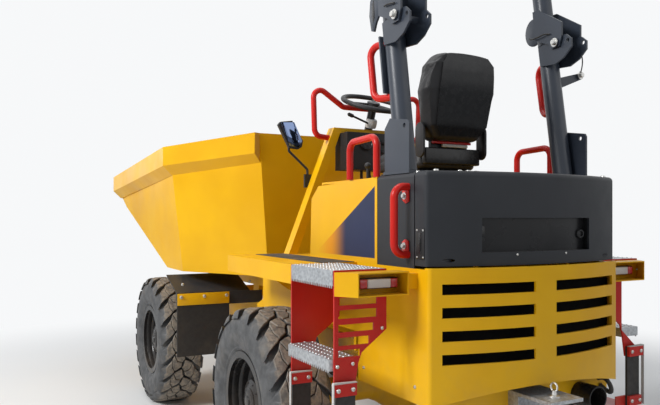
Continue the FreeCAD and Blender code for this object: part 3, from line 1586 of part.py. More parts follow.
def step_brackets():
    front = step_sheet_body("step_sheet_front", "-deck_rear - step_sheet",
                            "step_bracket_bottom - front_clamp_drop")
    plain = step_sheet_body("step_sheet_plain", "-step_rear", "step_bracket_bottom")
    slots = [block("step_slot_%d" % low, ("-step_rear - 1", "-step_rear + step_sheet + 1"),
                   (str(inner), "deck_half - 18"), (str(low), str(high)))
             for low, high, inner in STEP_SLOTS]
    rear = cut("step_sheet_slotted", plain, slots)
    notch = plate("right_notch", "YZ", (
        ("-deck_half - 1", "lamp_box_top - lamp_box_height"),
        ("-right_bracket_edge", "lamp_box_top - lamp_box_height"),
        ("-right_bracket_edge", "bracket_waist + 15"),
        ("-deck_half - 1", "bracket_waist - 80"),
    ), "-step_rear - 1", "-step_rear + step_sheet + 1")
    rear_right = cut("step_sheet_right", mirrored("step_sheet_mirrored", plain), [notch])
    return group("step_brackets", [front, rear, mirrored("step_sheet_front_right", front), rear_right])


def step_treads():
    top = block("tread_top",
                ("-step_rear + step_sheet", "-deck_rear - step_sheet"),
                ("step_inner", "deck_half"),
                ("deck_top - tread_depth", "deck_top"))
    mid = block("tread_mid",
                ("-step_rear + step_sheet", "-deck_rear - step_sheet"),
                ("deck_half - 106", "deck_half + tread_lap"),
                ("mid_tread_z - mid_tread_depth", "mid_tread_z"))
    return pair("step_treads", group("treads_left", [top, mid]))


STRAP_PLACES = (
    # name, rear face of the sheet that carries the strap, sheet's lower edge
    ("front", "-deck_rear - step_sheet", "step_bracket_bottom - front_clamp_drop"),
    ("rear", "-step_rear", "step_bracket_bottom"),
)


def step_straps():
    straps = []
    for label, x, low in STRAP_PLACES:
        straps.append(block("step_strap_" + label,
                            (x + " - strap_thickness", x),
                            ("deck_half - clamp_width", "deck_half"),
                            ("low_step_top - clamp_height", low + " + clamp_height")))
    return pair("step_straps", group("step_straps_left", straps))


def low_steps():
    pieces = []
    for label, x, low in STRAP_PLACES:
        back = x + " - strap_thickness"
        pieces.append(block("clamp_bar_" + label,
                            ("%s - clamp_thickness" % back, back),
                            ("deck_half - clamp_width", "deck_half + tread_lap"),
                            (low, low + " + clamp_height")))
    inner = "deck_half - low_step_width"
    front = "-deck_rear - step_sheet - strap_thickness"
    pieces += [
        block("low_clamp_bar",
              ("-step_rear - strap_thickness - clamp_thickness", "-step_rear - strap_thickness"),
              ("deck_half - clamp_width", "deck_half"),
              ("low_step_top - clamp_height", "low_step_top")),
        block("low_sheet_front", (front + " - step_sheet", front), (inner, "deck_half"),
              ("low_step_top - low_step_height", "low_step_top")),
        block("low_sheet_rear", ("-step_rear", "-step_rear + step_sheet"), (inner, "deck_half"),
              ("low_step_top - low_step_height", "low_step_top")),
        block("low_tread", ("-step_rear + step_sheet", front + " - step_sheet"), (inner, "deck_half"),
              ("low_step_top - low_step_height", "low_step_top - low_step_height + 30")),
    ]
    return pair("low_steps", group("low_steps_left", pieces))


# Lamps, hitch and exhaust

def lamp_box_block(label, wall, front):
    """The tapered box, or its room when a wall is given."""
    rear = "-step_rear - lamp_box_depth - %s" % front
    return plate(label, "XY", (
        (rear, "lamp_box_inner + (%s)" % wall),
        (rear, "lamp_box_outer - (%s)" % wall),
        ("-step_rear - (%s)" % wall, "deck_half - 1.5 * (%s)" % wall),
        ("-step_rear - (%s)" % wall, "lamp_box_inner + (%s)" % wall),
    ), "lamp_box_top - lamp_box_height + (%s)" % wall, "lamp_box_top - (%s)" % wall)


def lamp_boxes():
    shell = cut("lamp_box_shell", lamp_box_block("lamp_box_solid", "0", "0"),
                [lamp_box_block("lamp_box_room", "lamp_wall", "1")])
    stay = block("lamp_box_stay",
                 ("-step_rear - lamp_box_depth + 6", "-step_rear - 6"),
                 ("body_half", "lamp_box_inner"),
                 ("lamp_box_top - 70", "lamp_box_top - 10"))
    return pair("lamp_boxes", fuse("lamp_box", [shell, stay]))


def lamps():
    middle = "(lamp_box_inner + lamp_box_outer) / 2"
    lamp = block("lamp_body",
                 ("-step_rear - lamp_box_depth + 40", "-step_rear - lamp_wall"),
                 (middle + " - lamp_width / 2", middle + " + lamp_width / 2"),
                 ("lamp_box_top - lamp_box_height / 2 - lamp_height / 2",
                  "lamp_box_top - lamp_box_height / 2 + lamp_height / 2"))
    return pair("rear_lamps", lamp)


def hitch():
    rear = "-hitch_rear"
    top = "hitch_pin_z - 22"
    sheets = [
        block("hitch_top", (rear, "-rear_rail_end"), ("-hitch_half", "hitch_half"),
              (top + " - 14", top)),
        block("hitch_low", (rear, "-rear_rail_end"), ("-hitch_half", "hitch_half"),
              (top + " - 104", top + " - 90")),
        block("hitch_web", ("-rear_rail_end - 60", "-rear_rail_end"), ("-hitch_half", "hitch_half"),
              (top + " - 104", top)),
    ]
    whole = fuse("hitch_whole", sheets)
    bore = rod("hitch_bore", "Z", ("-hitch_rear + hitch_pin_inset", "0", top + " - 120"), "160",
               "hitch_pin_radius + running_gap")
    return group("tow_hitch", [cut("hitch_body", whole, [bore])])


def exhaust():
    pipe = rod("exhaust_pipe", "X", ("-rear_rail_end - exhaust_length", "-exhaust_y", "exhaust_z"),
               "exhaust_length", "exhaust_radius")
    mouth = rod("exhaust_mouth", "X", ("-rear_rail_end - exhaust_length - 1", "-exhaust_y", "exhaust_z"),
                "exhaust_length - 10", "exhaust_radius - exhaust_wall")
    return group("exhaust", [cut("exhaust_body", pipe, [mouth])])


# Front mudguards

def mudguards():
    bar = block("guard_bar",
                ("flap_x", "flap_x + 10"),
                ("rail_outer", "flap_outer"),
                ("flap_top - 12", "guard_bar_top"))
    wing = plate("guard_wing", "XZ", (
        ("flap_x", "guard_bar_top"),
        ("flap_x + 10", "guard_bar_top"),
        ("guard_top_x", "guard_top_z - 6"),
        ("guard_top_x", "guard_top_z"),
        ("flap_x + 5", "guard_bar_top + 6"),
        ("flap_x", "guard_bar_top + 6"),
    ), "rail_outer + 90", "flap_outer")
    return pair("mudguards", fuse("mudguard", [bar, wing]))


def mudflaps():
    flap = block("mudflap",
                 ("flap_x - 8", "flap_x"),
                 ("flap_inner", "flap_outer"),
                 ("flap_bottom", "flap_top + 30"))
    return pair("mudflaps", flap)


subpart(mudguards())
subpart(mudflaps())
subpart(step_straps())
subpart(low_steps())
subpart(lamp_boxes())
subpart(lamps())
subpart(hitch())
subpart(exhaust())
subpart(step_brackets())
subpart(step_treads())

doc.recompute()
for item in doc.Objects:
    if "Invalid" in item.State or "Error" in item.State:
        raise RuntimeError("%s is %s" % (item.Label, item.State))

os.makedirs("parts", exist_ok=True)
for item in SUBPARTS:
    if item.Shape.isNull() or not item.Shape.isValid():
        raise RuntimeError("%s has no valid shape" % item.Label)
    item.Shape.exportStep("parts/%s.step" % item.Label)
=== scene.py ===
import json
import math
import bmesh
import bpy
from mathutils import Matrix, Vector


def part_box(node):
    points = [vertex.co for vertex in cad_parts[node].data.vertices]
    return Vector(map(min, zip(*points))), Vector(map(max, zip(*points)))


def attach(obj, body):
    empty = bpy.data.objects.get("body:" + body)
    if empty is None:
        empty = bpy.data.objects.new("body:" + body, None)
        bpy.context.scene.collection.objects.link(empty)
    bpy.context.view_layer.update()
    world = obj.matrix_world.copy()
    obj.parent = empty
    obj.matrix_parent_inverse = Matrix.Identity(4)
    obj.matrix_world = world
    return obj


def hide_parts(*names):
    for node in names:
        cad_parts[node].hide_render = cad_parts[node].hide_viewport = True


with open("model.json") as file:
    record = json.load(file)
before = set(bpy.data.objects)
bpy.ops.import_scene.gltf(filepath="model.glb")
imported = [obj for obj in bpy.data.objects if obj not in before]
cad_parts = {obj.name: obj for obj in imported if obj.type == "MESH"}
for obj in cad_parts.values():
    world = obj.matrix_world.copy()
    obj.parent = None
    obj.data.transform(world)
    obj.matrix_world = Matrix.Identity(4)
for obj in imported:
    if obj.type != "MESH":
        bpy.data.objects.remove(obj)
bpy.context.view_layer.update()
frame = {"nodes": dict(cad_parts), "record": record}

# Articulated site dumper. Metres, with X forward, Y to the machine's left and Z up.

NODES = frame["nodes"]


# Camera

CAMERA_PLACE = Vector((-4.137, 2.080, 1.363))
CAMERA_TURN = -0.483
FOCAL_PIXELS = 680.9
FRAME_WIDTH = 660
HORIZON_BELOW_MIDDLE = 15.1
SENSOR = 36


def make_camera():
    data = bpy.data.cameras.new("camera")
    data.sensor_width = SENSOR
    data.lens = FOCAL_PIXELS / FRAME_WIDTH * SENSOR
    data.shift_y = HORIZON_BELOW_MIDDLE / FRAME_WIDTH
    data.clip_start = 0.05
    data.clip_end = 500
    camera = bpy.data.objects.new("camera", data)
    camera.location = CAMERA_PLACE
    camera.rotation_euler = (math.pi / 2, 0, CAMERA_TURN - math.pi / 2)
    bpy.context.collection.objects.link(camera)
    bpy.context.scene.camera = camera


make_camera()
bpy.context.scene.view_settings.view_transform = "Standard"


# Materials

class Paint:
    """A node material under construction."""

    def __init__(self, name):
        self.material = bpy.data.materials.new(name)
        self.material.use_nodes = True
        self.tree = self.material.node_tree
        self.shader = self.tree.nodes["Principled BSDF"]
        self.place = self.tree.nodes.new("ShaderNodeTexCoord").outputs["Object"]

    def link(self, source, target):
        if isinstance(source, (int, float, tuple)):
            target.default_value = source
        else:
            self.tree.links.new(source, target)

    def noise(self, scale, detail=4.0, rough=0.55, stretch=None, distortion=0.0):
        place = self.place
        if stretch:
            mapping = self.tree.nodes.new("ShaderNodeMapping")
            mapping.inputs["Scale"].default_value = stretch
            self.link(place, mapping.inputs["Vector"])
            place = mapping.outputs["Vector"]
        node = self.tree.nodes.new("ShaderNodeTexNoise")
        self.link(place, node.inputs["Vector"])
        node.inputs["Scale"].default_value = scale
        node.inputs["Detail"].default_value = detail
        node.inputs["Roughness"].default_value = rough
        node.inputs["Distortion"].default_value = distortion
        return node.outputs["Fac"]

    def voronoi(self, scale, feature="F1"):
        node = self.tree.nodes.new("ShaderNodeTexVoronoi")
        node.feature = feature
        self.link(self.place, node.inputs["Vector"])
        node.inputs["Scale"].default_value = scale
        return node.outputs["Distance"]

    def wave(self, scale, direction, distortion=0.0):
        node = self.tree.nodes.new("ShaderNodeTexWave")
        node.bands_direction = direction
        self.link(self.place, node.inputs["Vector"])
        node.inputs["Scale"].default_value = scale
        node.inputs["Distortion"].default_value = distortion
        return node.outputs["Fac"]

    def axis(self, name):
        node = self.tree.nodes.new("ShaderNodeSeparateXYZ")
        self.link(self.place, node.inputs["Vector"])
        return node.outputs[name]

    def facing(self, name):
        """One axis of the surface's own normal, in the frame of the object."""
        geometry = self.tree.nodes.new("ShaderNodeNewGeometry")
        node = self.tree.nodes.new("ShaderNodeSeparateXYZ")
        self.link(geometry.outputs["Normal"], node.inputs["Vector"])
        return node.outputs[name]

    def maths(self, operation, first, second=0.0, third=0.0):
        node = self.tree.nodes.new("ShaderNodeMath")
        node.operation = operation
        for socket, value in zip(node.inputs, (first, second, third)):
            self.link(value, socket)
        return node.outputs["Value"]

    def span(self, value, low, high, to_low=0.0, to_high=1.0, smooth=True):
        """Takes a value from one range to another, held at the ends."""
        node = self.tree.nodes.new("ShaderNodeMapRange")
        node.interpolation_type = "SMOOTHSTEP" if smooth else "LINEAR"
        self.link(value, node.inputs["Value"])
        for socket, number in zip(("From Min", "From Max", "To Min", "To Max"), (low, high, to_low, to_high)):
            self.link(number, node.inputs[socket])
        return node.outputs["Result"]

    def mix(self, share, first, second):
        """Blends two colours."""
        node = self.tree.nodes.new("ShaderNodeMix")
        node.data_type = "RGBA"
        self.link(share, node.inputs[0])
        for value, socket in ((first, node.inputs[6]), (second, node.inputs[7])):
            self.link(value + (1.0,) if isinstance(value, tuple) and len(value) == 3 else value, socket)
        return node.outputs[2]

    def bump(self, height, strength, distance):
        node = self.tree.nodes.new("ShaderNodeBump")
        node.inputs["Strength"].default_value = strength
        node.inputs["Distance"].default_value = distance
        self.link(height, node.inputs["Height"])
        if self.shader.inputs["Normal"].is_linked:
            self.link(self.shader.inputs["Normal"].links[0].from_socket, node.inputs["Normal"])
        self.link(node.outputs["Normal"], self.shader.inputs["Normal"])

    def set(self, **values):
        for name, value in values.items():
            self.link(value, self.shader.inputs[name.replace("_", " ")])


DUST = (0.34, 0.25, 0.17)


def dusting(paint, top, strength, scale=7.0):
    """How much dust lies on the surface: more low down, in patches, and on what faces up."""
    low = paint.span(paint.axis("Z"), 0.1, top, strength, 0.0)
    patches = paint.span(paint.noise(scale, 8.0, 0.65), 0.42, 0.7)
    level = paint.span(paint.facing("Z"), 0.5, 1.0, 0.0, strength * 0.35)
    return paint.maths("MULTIPLY", paint.maths("ADD", low, level), paint.maths("ADD", patches, 0.25))


def coated(name, colour, deep, rough=0.34, coat=0.04, dust=0.25, dust_top=1.1, peel=0.04):
    """Sprayed paint: slight tone changes, orange peel, fine specks and dust low down."""
    paint = Paint(name)
    tone = paint.mix(paint.span(paint.noise(2.2, 3.0), 0.3, 0.7), colour, deep)
    specks = paint.span(paint.noise(260.0, 2.0), 0.70, 0.78, 0.0, 0.35)
    tone = paint.mix(specks, tone, tuple(channel * 0.55 for channel in colour))
    share = dusting(paint, dust_top, dust)
    paint.set(Base_Color=paint.mix(share, tone, DUST))
    paint.set(Roughness=paint.maths("ADD", paint.span(paint.noise(5.0, 6.0), 0.3, 0.7, rough - 0.05, rough + 0.08),
                                    paint.maths("MULTIPLY", share, 0.5)))
    paint.shader.inputs["Specular IOR Level"].default_value = 0.22
    paint.shader.inputs["Coat Weight"].default_value = coat
    paint.shader.inputs["Coat Roughness"].default_value = 0.15
    paint.bump(paint.noise(420.0, 2.0), peel, 0.0006)
    return paint


def yellow_paint():
    return coated("yellow paint", (0.86, 0.47, 0.004), (0.78, 0.40, 0.003)).material


def skip_paint():
    """The skip's yellow, scraped and dusty inside where loads slide."""
    paint = coated("skip paint", (0.86, 0.47, 0.004), (0.78, 0.40, 0.003), dust=0.10)
    up = paint.span(paint.facing("Z"), 0.1, 0.6)
    high = paint.span(paint.axis("Z"), 0.99, 1.005)
    below_rim = paint.span(paint.axis("Z"), 1.62, 1.76, 1.0, 0.0)
    scrapes = paint.span(paint.noise(9.0, 9.0, 0.7, stretch=(0.25, 1.0, 1.0)), 0.47, 0.62)
    floor = paint.maths("MULTIPLY", paint.maths("MULTIPLY", up, high), below_rim)
    worn = paint.maths("MULTIPLY", floor, scrapes)
    old = paint.shader.inputs["Base Color"].links[0].from_socket
    steel = paint.mix(paint.span(paint.noise(30.0, 6.0), 0.4, 0.62), (0.21, 0.15, 0.11), (0.33, 0.28, 0.23))
    paint.set(Base_Color=paint.mix(worn, old, steel))
    return paint.material


def side_panel_paint():
    """Yellow with a dark blue triangle, low down to the rear, that fades through orange inside a yellow border."""
    paint = coated("side panel paint", (0.86, 0.47, 0.004), (0.78, 0.40, 0.003), dust=0.0)
    x = paint.axis("X")
    z = paint.axis("Z")
    slope = paint.maths("ADD", paint.maths("MULTIPLY", x, 0.55), z)
    triangle = paint.span(slope, 0.624, 0.626, 1.0, 0.0, smooth=False)
    inside = paint.maths("MULTIPLY", paint.span(x, -1.594, -1.592, 0.0, 1.0, smooth=False),
                         paint.span(z, 1.184, 1.186, 0.0, 1.0, smooth=False))
    corner = paint.maths("MULTIPLY", triangle, inside)
    glow = paint.maths("MULTIPLY", corner, paint.span(x, -1.20, -1.00, 0.85, 0.0))
    dark = paint.maths("MULTIPLY", corner, paint.span(x, -1.34, -1.17, 1.0, 0.0))
    old = paint.shader.inputs["Base Color"].links[0].from_socket
    faded = paint.mix(glow, old, (0.78, 0.27, 0.004))
    blue = paint.mix(paint.span(paint.noise(3.0), 0.3, 0.7), (0.012, 0.018, 0.055), (0.020, 0.028, 0.075))
    paint.set(Base_Color=paint.mix(dark, faded, blue))
    return paint.material


def grey_paint():
    paint = coated("dark grey paint", (0.032, 0.034, 0.039), (0.026, 0.028, 0.032), rough=0.46, coat=0.04,
                   dust=0.10, dust_top=1.4, peel=0.14)
    paint.shader.inputs["Specular IOR Level"].default_value = 0.2
    return paint.material


def roll_bar_paint():
    paint = coated("blue grey paint", (0.030, 0.038, 0.054), (0.024, 0.031, 0.045), rough=0.36, coat=0.10,
                   dust=0.0, peel=0.08)
    paint.shader.inputs["Specular IOR Level"].default_value = 0.4
    return paint.material


def red_paint():
    return coated("red paint", (0.62, 0.016, 0.010), (0.50, 0.011, 0.008), rough=0.32, coat=0.10,
                  dust=0.22, dust_top=1.2).material


def black_paint():
    return coated("black paint", (0.010, 0.010, 0.011), (0.015, 0.015, 0.016), rough=0.26, coat=0.15,
                  dust=0.12, dust_top=0.95).material


def tread_steel():
    """Galvanised steel with the crystals that zinc shows."""
    paint = Paint("galvanised steel")
    crystals = paint.voronoi(85.0)
    tone = paint.mix(paint.span(crystals, 0.1, 0.9), (0.36, 0.38, 0.40), (0.52, 0.54, 0.56))
    paint.set(Base_Color=paint.mix(dusting(paint, 1.2, 0.3, 20.0), tone, DUST))
    paint.set(Roughness=paint.span(paint.noise(60.0, 4.0), 0.3, 0.7, 0.42, 0.62))
    paint.shader.inputs["Metallic"].default_value = 0.9
    paint.bump(paint.noise(300.0), 0.15, 0.001)
    return paint.material


def chromed():
    paint = Paint("chromed rod")
    paint.set(Base_Color=paint.mix(paint.noise(40.0), (0.62, 0.63, 0.65), (0.74, 0.75, 0.77)))
    paint.set(Roughness=paint.span(paint.noise(90.0, 4.0, stretch=(0.1, 1.0, 1.0)), 0.3, 0.7, 0.06, 0.16))
    paint.shader.inputs["Metallic"].default_value = 1.0
    return paint.material


def zinc_bolt():
    paint = Paint("zinc plated bolt")
    paint.set(Base_Color=paint.mix(paint.noise(120.0, 5.0), (0.50, 0.50, 0.49), (0.66, 0.65, 0.62)))
    paint.set(Roughness=paint.span(paint.noise(200.0), 0.3, 0.7, 0.25, 0.45))
    paint.shader.inputs["Metallic"].default_value = 0.95
    return paint.material


def tyre_rubber():
    """Black rubber with pale dry mud on the tread and a grey bloom on the side."""
    paint = Paint("tyre rubber")
    # radius from the nearer axle line
    from_axle = paint.maths("SUBTRACT", paint.maths("ABSOLUTE", paint.axis("X")), 0.982)
    height = paint.maths("SUBTRACT", paint.axis("Z"), 0.4575)
    radius = paint.maths("SQRT", paint.maths("ADD", paint.maths("MULTIPLY", from_axle, from_axle),
                                             paint.maths("MULTIPLY", height, height)))
    bloom = paint.mix(paint.span(paint.noise(14.0, 6.0), 0.3, 0.7), (0.045, 0.046, 0.048), (0.085, 0.086, 0.088))
    crown = paint.span(radius, 0.445, 0.4555)
    grit = paint.span(paint.noise(38.0, 10.0, 0.7), 0.36, 0.62)
    mud = paint.maths("MULTIPLY", crown, paint.span(grit, 0.0, 1.0, 0.35, 0.95))
    mud_tone = paint.mix(paint.noise(60.0, 8.0, 0.7), (0.20, 0.165, 0.125), (0.40, 0.34, 0.27))
    tone = paint.mix(mud, bloom, mud_tone)
    side_dust = paint.maths("MULTIPLY", paint.span(paint.noise(9.0, 8.0, 0.65), 0.48, 0.75),
                            paint.span(radius, 0.26, 0.45, 0.10, 0.45))
    paint.set(Base_Color=paint.mix(side_dust, tone, (0.22, 0.185, 0.145)))
    paint.set(Roughness=paint.span(paint.noise(25.0, 6.0), 0.3, 0.7, 0.55, 0.82))
    paint.bump(paint.noise(160.0, 8.0, 0.7), 0.35, 0.002)
    return paint.material


def black_rubber():
    paint = Paint("black rubber sheet")
    tone = paint.mix(paint.noise(12.0, 6.0), (0.010, 0.010, 0.010), (0.020, 0.019, 0.018))
    paint.set(Base_Color=paint.mix(dusting(paint, 1.0, 0.12), tone, DUST))
    paint.set(Roughness=paint.span(paint.noise(40.0), 0.3, 0.7, 0.55, 0.75))
    paint.bump(paint.noise(220.0, 5.0), 0.2, 0.001)
    return paint.material


def black_plastic():
    paint = Paint("black moulded plastic")
    paint.set(Base_Color=paint.mix(paint.noise(6.0), (0.014, 0.014, 0.015), (0.026, 0.026, 0.028)))
    paint.set(Roughness=paint.span(paint.noise(18.0), 0.3, 0.7, 0.38, 0.55))
    paint.shader.inputs["Specular IOR Level"].default_value = 0.3
    paint.bump(paint.voronoi(900.0), 0.25, 0.0006)
    return paint.material


def seat_vinyl():
    """Black vinyl with a fine leather grain."""
    paint = Paint("seat vinyl")
    paint.set(Base_Color=paint.mix(paint.noise(5.0, 6.0), (0.010, 0.010, 0.011), (0.022, 0.022, 0.024)))
    paint.set(Roughness=paint.span(paint.noise(30.0, 5.0), 0.3, 0.7, 0.34, 0.52))
    paint.shader.inputs["Specular IOR Level"].default_value = 0.3
    paint.bump(paint.voronoi(420.0), 0.4, 0.0008)
    paint.bump(paint.noise(60.0, 6.0), 0.12, 0.003)
    return paint.material


def engine_iron():
    paint = Paint("engine iron")
    paint.set(Base_Color=paint.mix(paint.noise(16.0, 8.0), (0.012, 0.012, 0.013), (0.045, 0.042, 0.040)))
    paint.set(Roughness=paint.span(paint.noise(30.0), 0.3, 0.7, 0.5, 0.8))
    paint.bump(paint.noise(70.0, 8.0), 0.5, 0.004)
    return paint.material


def red_lens():
    """Moulded red lens with fine upright flutes."""
    paint = Paint("red lens")
    paint.set(Base_Color=paint.mix(paint.noise(20.0), (0.42, 0.008, 0.010), (0.60, 0.016, 0.016)))
    paint.set(Roughness=paint.span(paint.noise(60.0), 0.3, 0.7, 0.08, 0.16))
    paint.shader.inputs["Coat Weight"].default_value = 0.6
    paint.bump(paint.wave(90.0, "Y"), 0.35, 0.001)
    return paint.material


def gloss_black():
    paint = Paint("gloss black plastic")
    paint.set(Base_Color=paint.mix(paint.noise(8.0, 3.0), (0.010, 0.010, 0.011), (0.017, 0.017, 0.018)))
    paint.set(Roughness=paint.span(paint.noise(35.0, 4.0), 0.3, 0.7, 0.20, 0.32))
    paint.shader.inputs["Specular IOR Level"].default_value = 0.3
    paint.bump(paint.noise(150.0), 0.06, 0.0008)
    return paint.material


# A near-black, dull finish, used only for the painted shade behind the grille slots.
def matt_black():
    paint = Paint("matt black sheet")
    paint.set(Base_Color=paint.mix(paint.noise(20.0, 6.0), (0.003, 0.003, 0.003), (0.008, 0.008, 0.008)))
    paint.set(Roughness=paint.span(paint.noise(50.0), 0.3, 0.7, 0.85, 0.95))
    paint.shader.inputs["Specular IOR Level"].default_value = 0.1
    return paint.material


def pale_webbing():
    """Pale grey woven band."""
    paint = Paint("pale webbing")
    paint.set(Base_Color=paint.mix(paint.noise(80.0, 6.0), (0.46, 0.45, 0.43), (0.62, 0.61, 0.58)))
    paint.set(Roughness=paint.span(paint.noise(60.0), 0.3, 0.7, 0.6, 0.8))
    paint.bump(paint.wave(300.0, "Z"), 0.2, 0.0006)
    return paint.material


def clear_lens():
    paint = Paint("clear lens")
    paint.set(Base_Color=paint.mix(paint.noise(26.0), (0.62, 0.60, 0.57), (0.74, 0.72, 0.69)))
    paint.set(Roughness=paint.span(paint.noise(60.0), 0.3, 0.7, 0.08, 0.16))
    paint.shader.inputs["Coat Weight"].default_value = 0.6
    paint.bump(paint.wave(75.0, "Y"), 0.5, 0.0015)
    return paint.material


def mirror_glass():
    # painted reflection: the dark blue base colour stands in for the sky seen in the mirror
    paint = Paint("mirror glass")
    paint.set(Base_Color=paint.mix(paint.noise(4.0), (0.15, 0.20, 0.34), (0.19, 0.25, 0.40)))
    paint.set(Roughness=paint.span(paint.noise(12.0), 0.3, 0.7, 0.03, 0.07))
    paint.shader.inputs["Metallic"].default_value = 1.0
    return paint.material


def grit_sheet():
    """Dark anti-slip sheet with coarse grit and trodden dust."""
    paint = Paint("anti-slip sheet")
    grit = paint.noise(520.0, 3.0, 0.7)
    tone = paint.mix(paint.span(grit, 0.4, 0.65), (0.020, 0.019, 0.018), (0.060, 0.055, 0.050))
    paint.set(Base_Color=paint.mix(paint.span(paint.noise(6.0, 8.0), 0.45, 0.75, 0.0, 0.5), tone, (0.16, 0.12, 0.085)))
    paint.set(Roughness=paint.span(paint.noise(40.0), 0.3, 0.7, 0.75, 0.95))
    paint.bump(grit, 0.8, 0.002)
    return paint.material


GLOSS_BLACK = gloss_black()
MATT_BLACK = matt_black()
PALE_WEBBING = pale_webbing()
CLEAR_LENS = clear_lens()
MIRROR = mirror_glass()
GRIT = grit_sheet()
ZINC = zinc_bolt()
FINISHES = {
    "yellow": yellow_paint(),
    "roll_bar": roll_bar_paint(),
    "dark_grey": grey_paint(),
    "red": red_paint(),
    "black_paint": black_paint(),
    "chrome": chromed(),
    "steel": tread_steel(),
    "tyre": tyre_rubber(),
    "rubber": black_rubber(),
    "black_plastic": black_plastic(),
    "seat_cover": seat_vinyl(),
    "engine_paint": engine_iron(),
    "lamp_red": red_lens(),
}
NODE_FINISHES = {
    "lid_recess": FINISHES["black_paint"],
    "skip_tub": skip_paint(),
    "side_panels": side_panel_paint(),
    "rops_hoop": FINISHES["roll_bar"],
    "rops_posts": FINISHES["roll_bar"],
}


def finish_nodes():
    """Gives every CAD node the finish of its slot, or its own."""
    for row in frame["record"]["subparts"]:
        node = NODES[row["node"]]
        finish = NODE_FINISHES.get(row["node"], FINISHES[row["material_slot"]])
        node.data.materials.clear()
        node.data.materials.append(finish)


finish_nodes()


# Making pieces

def place(x, y, z):
    return Matrix.Translation((x, y, z))


def outlined(points, height):
    """A prism: the outline in the XY plane, raised along Z."""
    mesh = bmesh.new()
    face = mesh.faces.new([mesh.verts.new((x, y, 0)) for x, y in points])
    raised = bmesh.ops.extrude_face_region(mesh, geom=[face])
    top = [item for item in raised["geom"] if isinstance(item, bmesh.types.BMVert)]
    bmesh.ops.translate(mesh, verts=top, vec=(0, 0, height))
    bmesh.ops.recalc_face_normals(mesh, faces=mesh.faces)
    return mesh


def boxed(low, high):
    mesh = bmesh.new()
    bmesh.ops.create_cube(mesh, size=1)
    middle = (Vector(low) + Vector(high)) / 2
    size = Vector(high) - Vector(low)
    bmesh.ops.transform(mesh, matrix=Matrix.Translation(middle) @ Matrix.Diagonal((*size, 1)), verts=mesh.verts)
    return mesh


def lathe(section, steps=64):
    """A solid turned about the Z axis. The section is rows of radius and height, outermost faces last."""
    mesh = bmesh.new()
    verts = [mesh.verts.new((radius, 0, height)) for radius, height in section]
    edges = [mesh.edges.new(pair) for pair in zip(verts, verts[1:])]
    bmesh.ops.spin(mesh, geom=verts + edges, cent=(0, 0, 0), axis=(0, 0, 1), angle=math.tau, steps=steps,
                   use_merge=True)
    bmesh.ops.remove_doubles(mesh, verts=mesh.verts, dist=1e-6)
    bmesh.ops.recalc_face_normals(mesh, faces=mesh.faces)
    return mesh


def bevelled(mesh, width, segments=2, angle=0.5):
    """Rounds the edges that turn by more than an angle."""
    edges = [edge for edge in mesh.edges if edge.is_manifold and edge.calc_face_angle(0) > angle]
    bmesh.ops.bevel(mesh, geom=edges, offset=width, offset_type="OFFSET", segments=segments, profile=0.5,
                    affect="EDGES", material=-1, clamp_overlap=True)
    return mesh


def joined(parts):
    """One mesh from several, each with its place."""
    whole = bmesh.new()
    for mesh, matrix in parts:
        if matrix is not None:
            bmesh.ops.transform(mesh, matrix=matrix, verts=mesh.verts)
        data = bpy.data.meshes.new("part")
        mesh.to_mesh(data)
        mesh.free()
        whole.from_mesh(data)
        bpy.data.meshes.remove(data)
    return whole


def finished(name, mesh, finish, body, smooth=0.6):
    """The piece as an object that rides on a body. Faces that meet at a small angle are shaded smooth."""
    data = bpy.data.meshes.new(name)
    for face in mesh.faces:
        face.smooth = True
    for edge in mesh.edges:
        edge.smooth = edge.is_manifold and edge.calc_face_angle(0) < smooth
    mesh.to_mesh(data)
    mesh.free()
    data.materials.append(finish)
    piece = bpy.data.objects.new(name, data)
    bpy.context.collection.objects.link(piece)
    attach(piece, body)
    return piece


def aimed(point, direction):
    """Carries a piece that stands along Z to a point and turns it along a direction."""
    turn = Vector(direction).to_track_quat("Z", "Y").to_matrix().to_4x4()
    return Matrix.Translation(point) @ turn


def ring_turned(section, steps):
    """A ring turned about the Z axis from a closed section of radius and height."""
    mesh = bmesh.new()
    verts = [mesh.verts.new((radius, 0, height)) for radius, height in section]
    edges = [mesh.edges.new(pair) for pair in zip(verts, verts[1:] + verts[:1])]
    bmesh.ops.spin(mesh, geom=verts + edges, cent=(0, 0, 0), axis=(0, 0, 1), angle=math.tau, steps=steps,
                   use_merge=True)
    bmesh.ops.remove_doubles(mesh, verts=mesh.verts, dist=1e-6)
    bmesh.ops.recalc_face_normals(mesh, faces=mesh.faces)
    return mesh


def flat_plate(points, axis, low, high, rounding=0.0):
    """A plate whose outline lies across an axis, between two places on it."""
    mesh = outlined(points, high - low)
    if rounding:
        bevelled(mesh, rounding, 2)
    turn = {
        "X": Matrix(((0, 0, 1, low), (1, 0, 0, 0), (0, 1, 0, 0), (0, 0, 0, 1))),
        "Y": Matrix(((1, 0, 0, 0), (0, 0, 1, low), (0, 1, 0, 0), (0, 0, 0, 1))),
        "Z": Matrix.Translation((0, 0, low)),
    }[axis]
    bmesh.ops.transform(mesh, matrix=turn, verts=mesh.verts)
    bmesh.ops.recalc_face_normals(mesh, faces=mesh.faces)
    return mesh


def both_sides(mesh):
    """The mesh and its mirror image across the middle plane."""
    bmesh.ops.mirror(mesh, geom=mesh.verts[:] + mesh.edges[:] + mesh.faces[:], axis="Y", merge_dist=-1)
    bmesh.ops.recalc_face_normals(mesh, faces=mesh.faces)
    return mesh


# Tyres

WHEELS = ("front_left", "front_right", "rear_left", "rear_right")
TYRE_RADIUS = 0.4575
LUG_COUNT = 20
LUG_PITCH = math.tau / LUG_COUNT

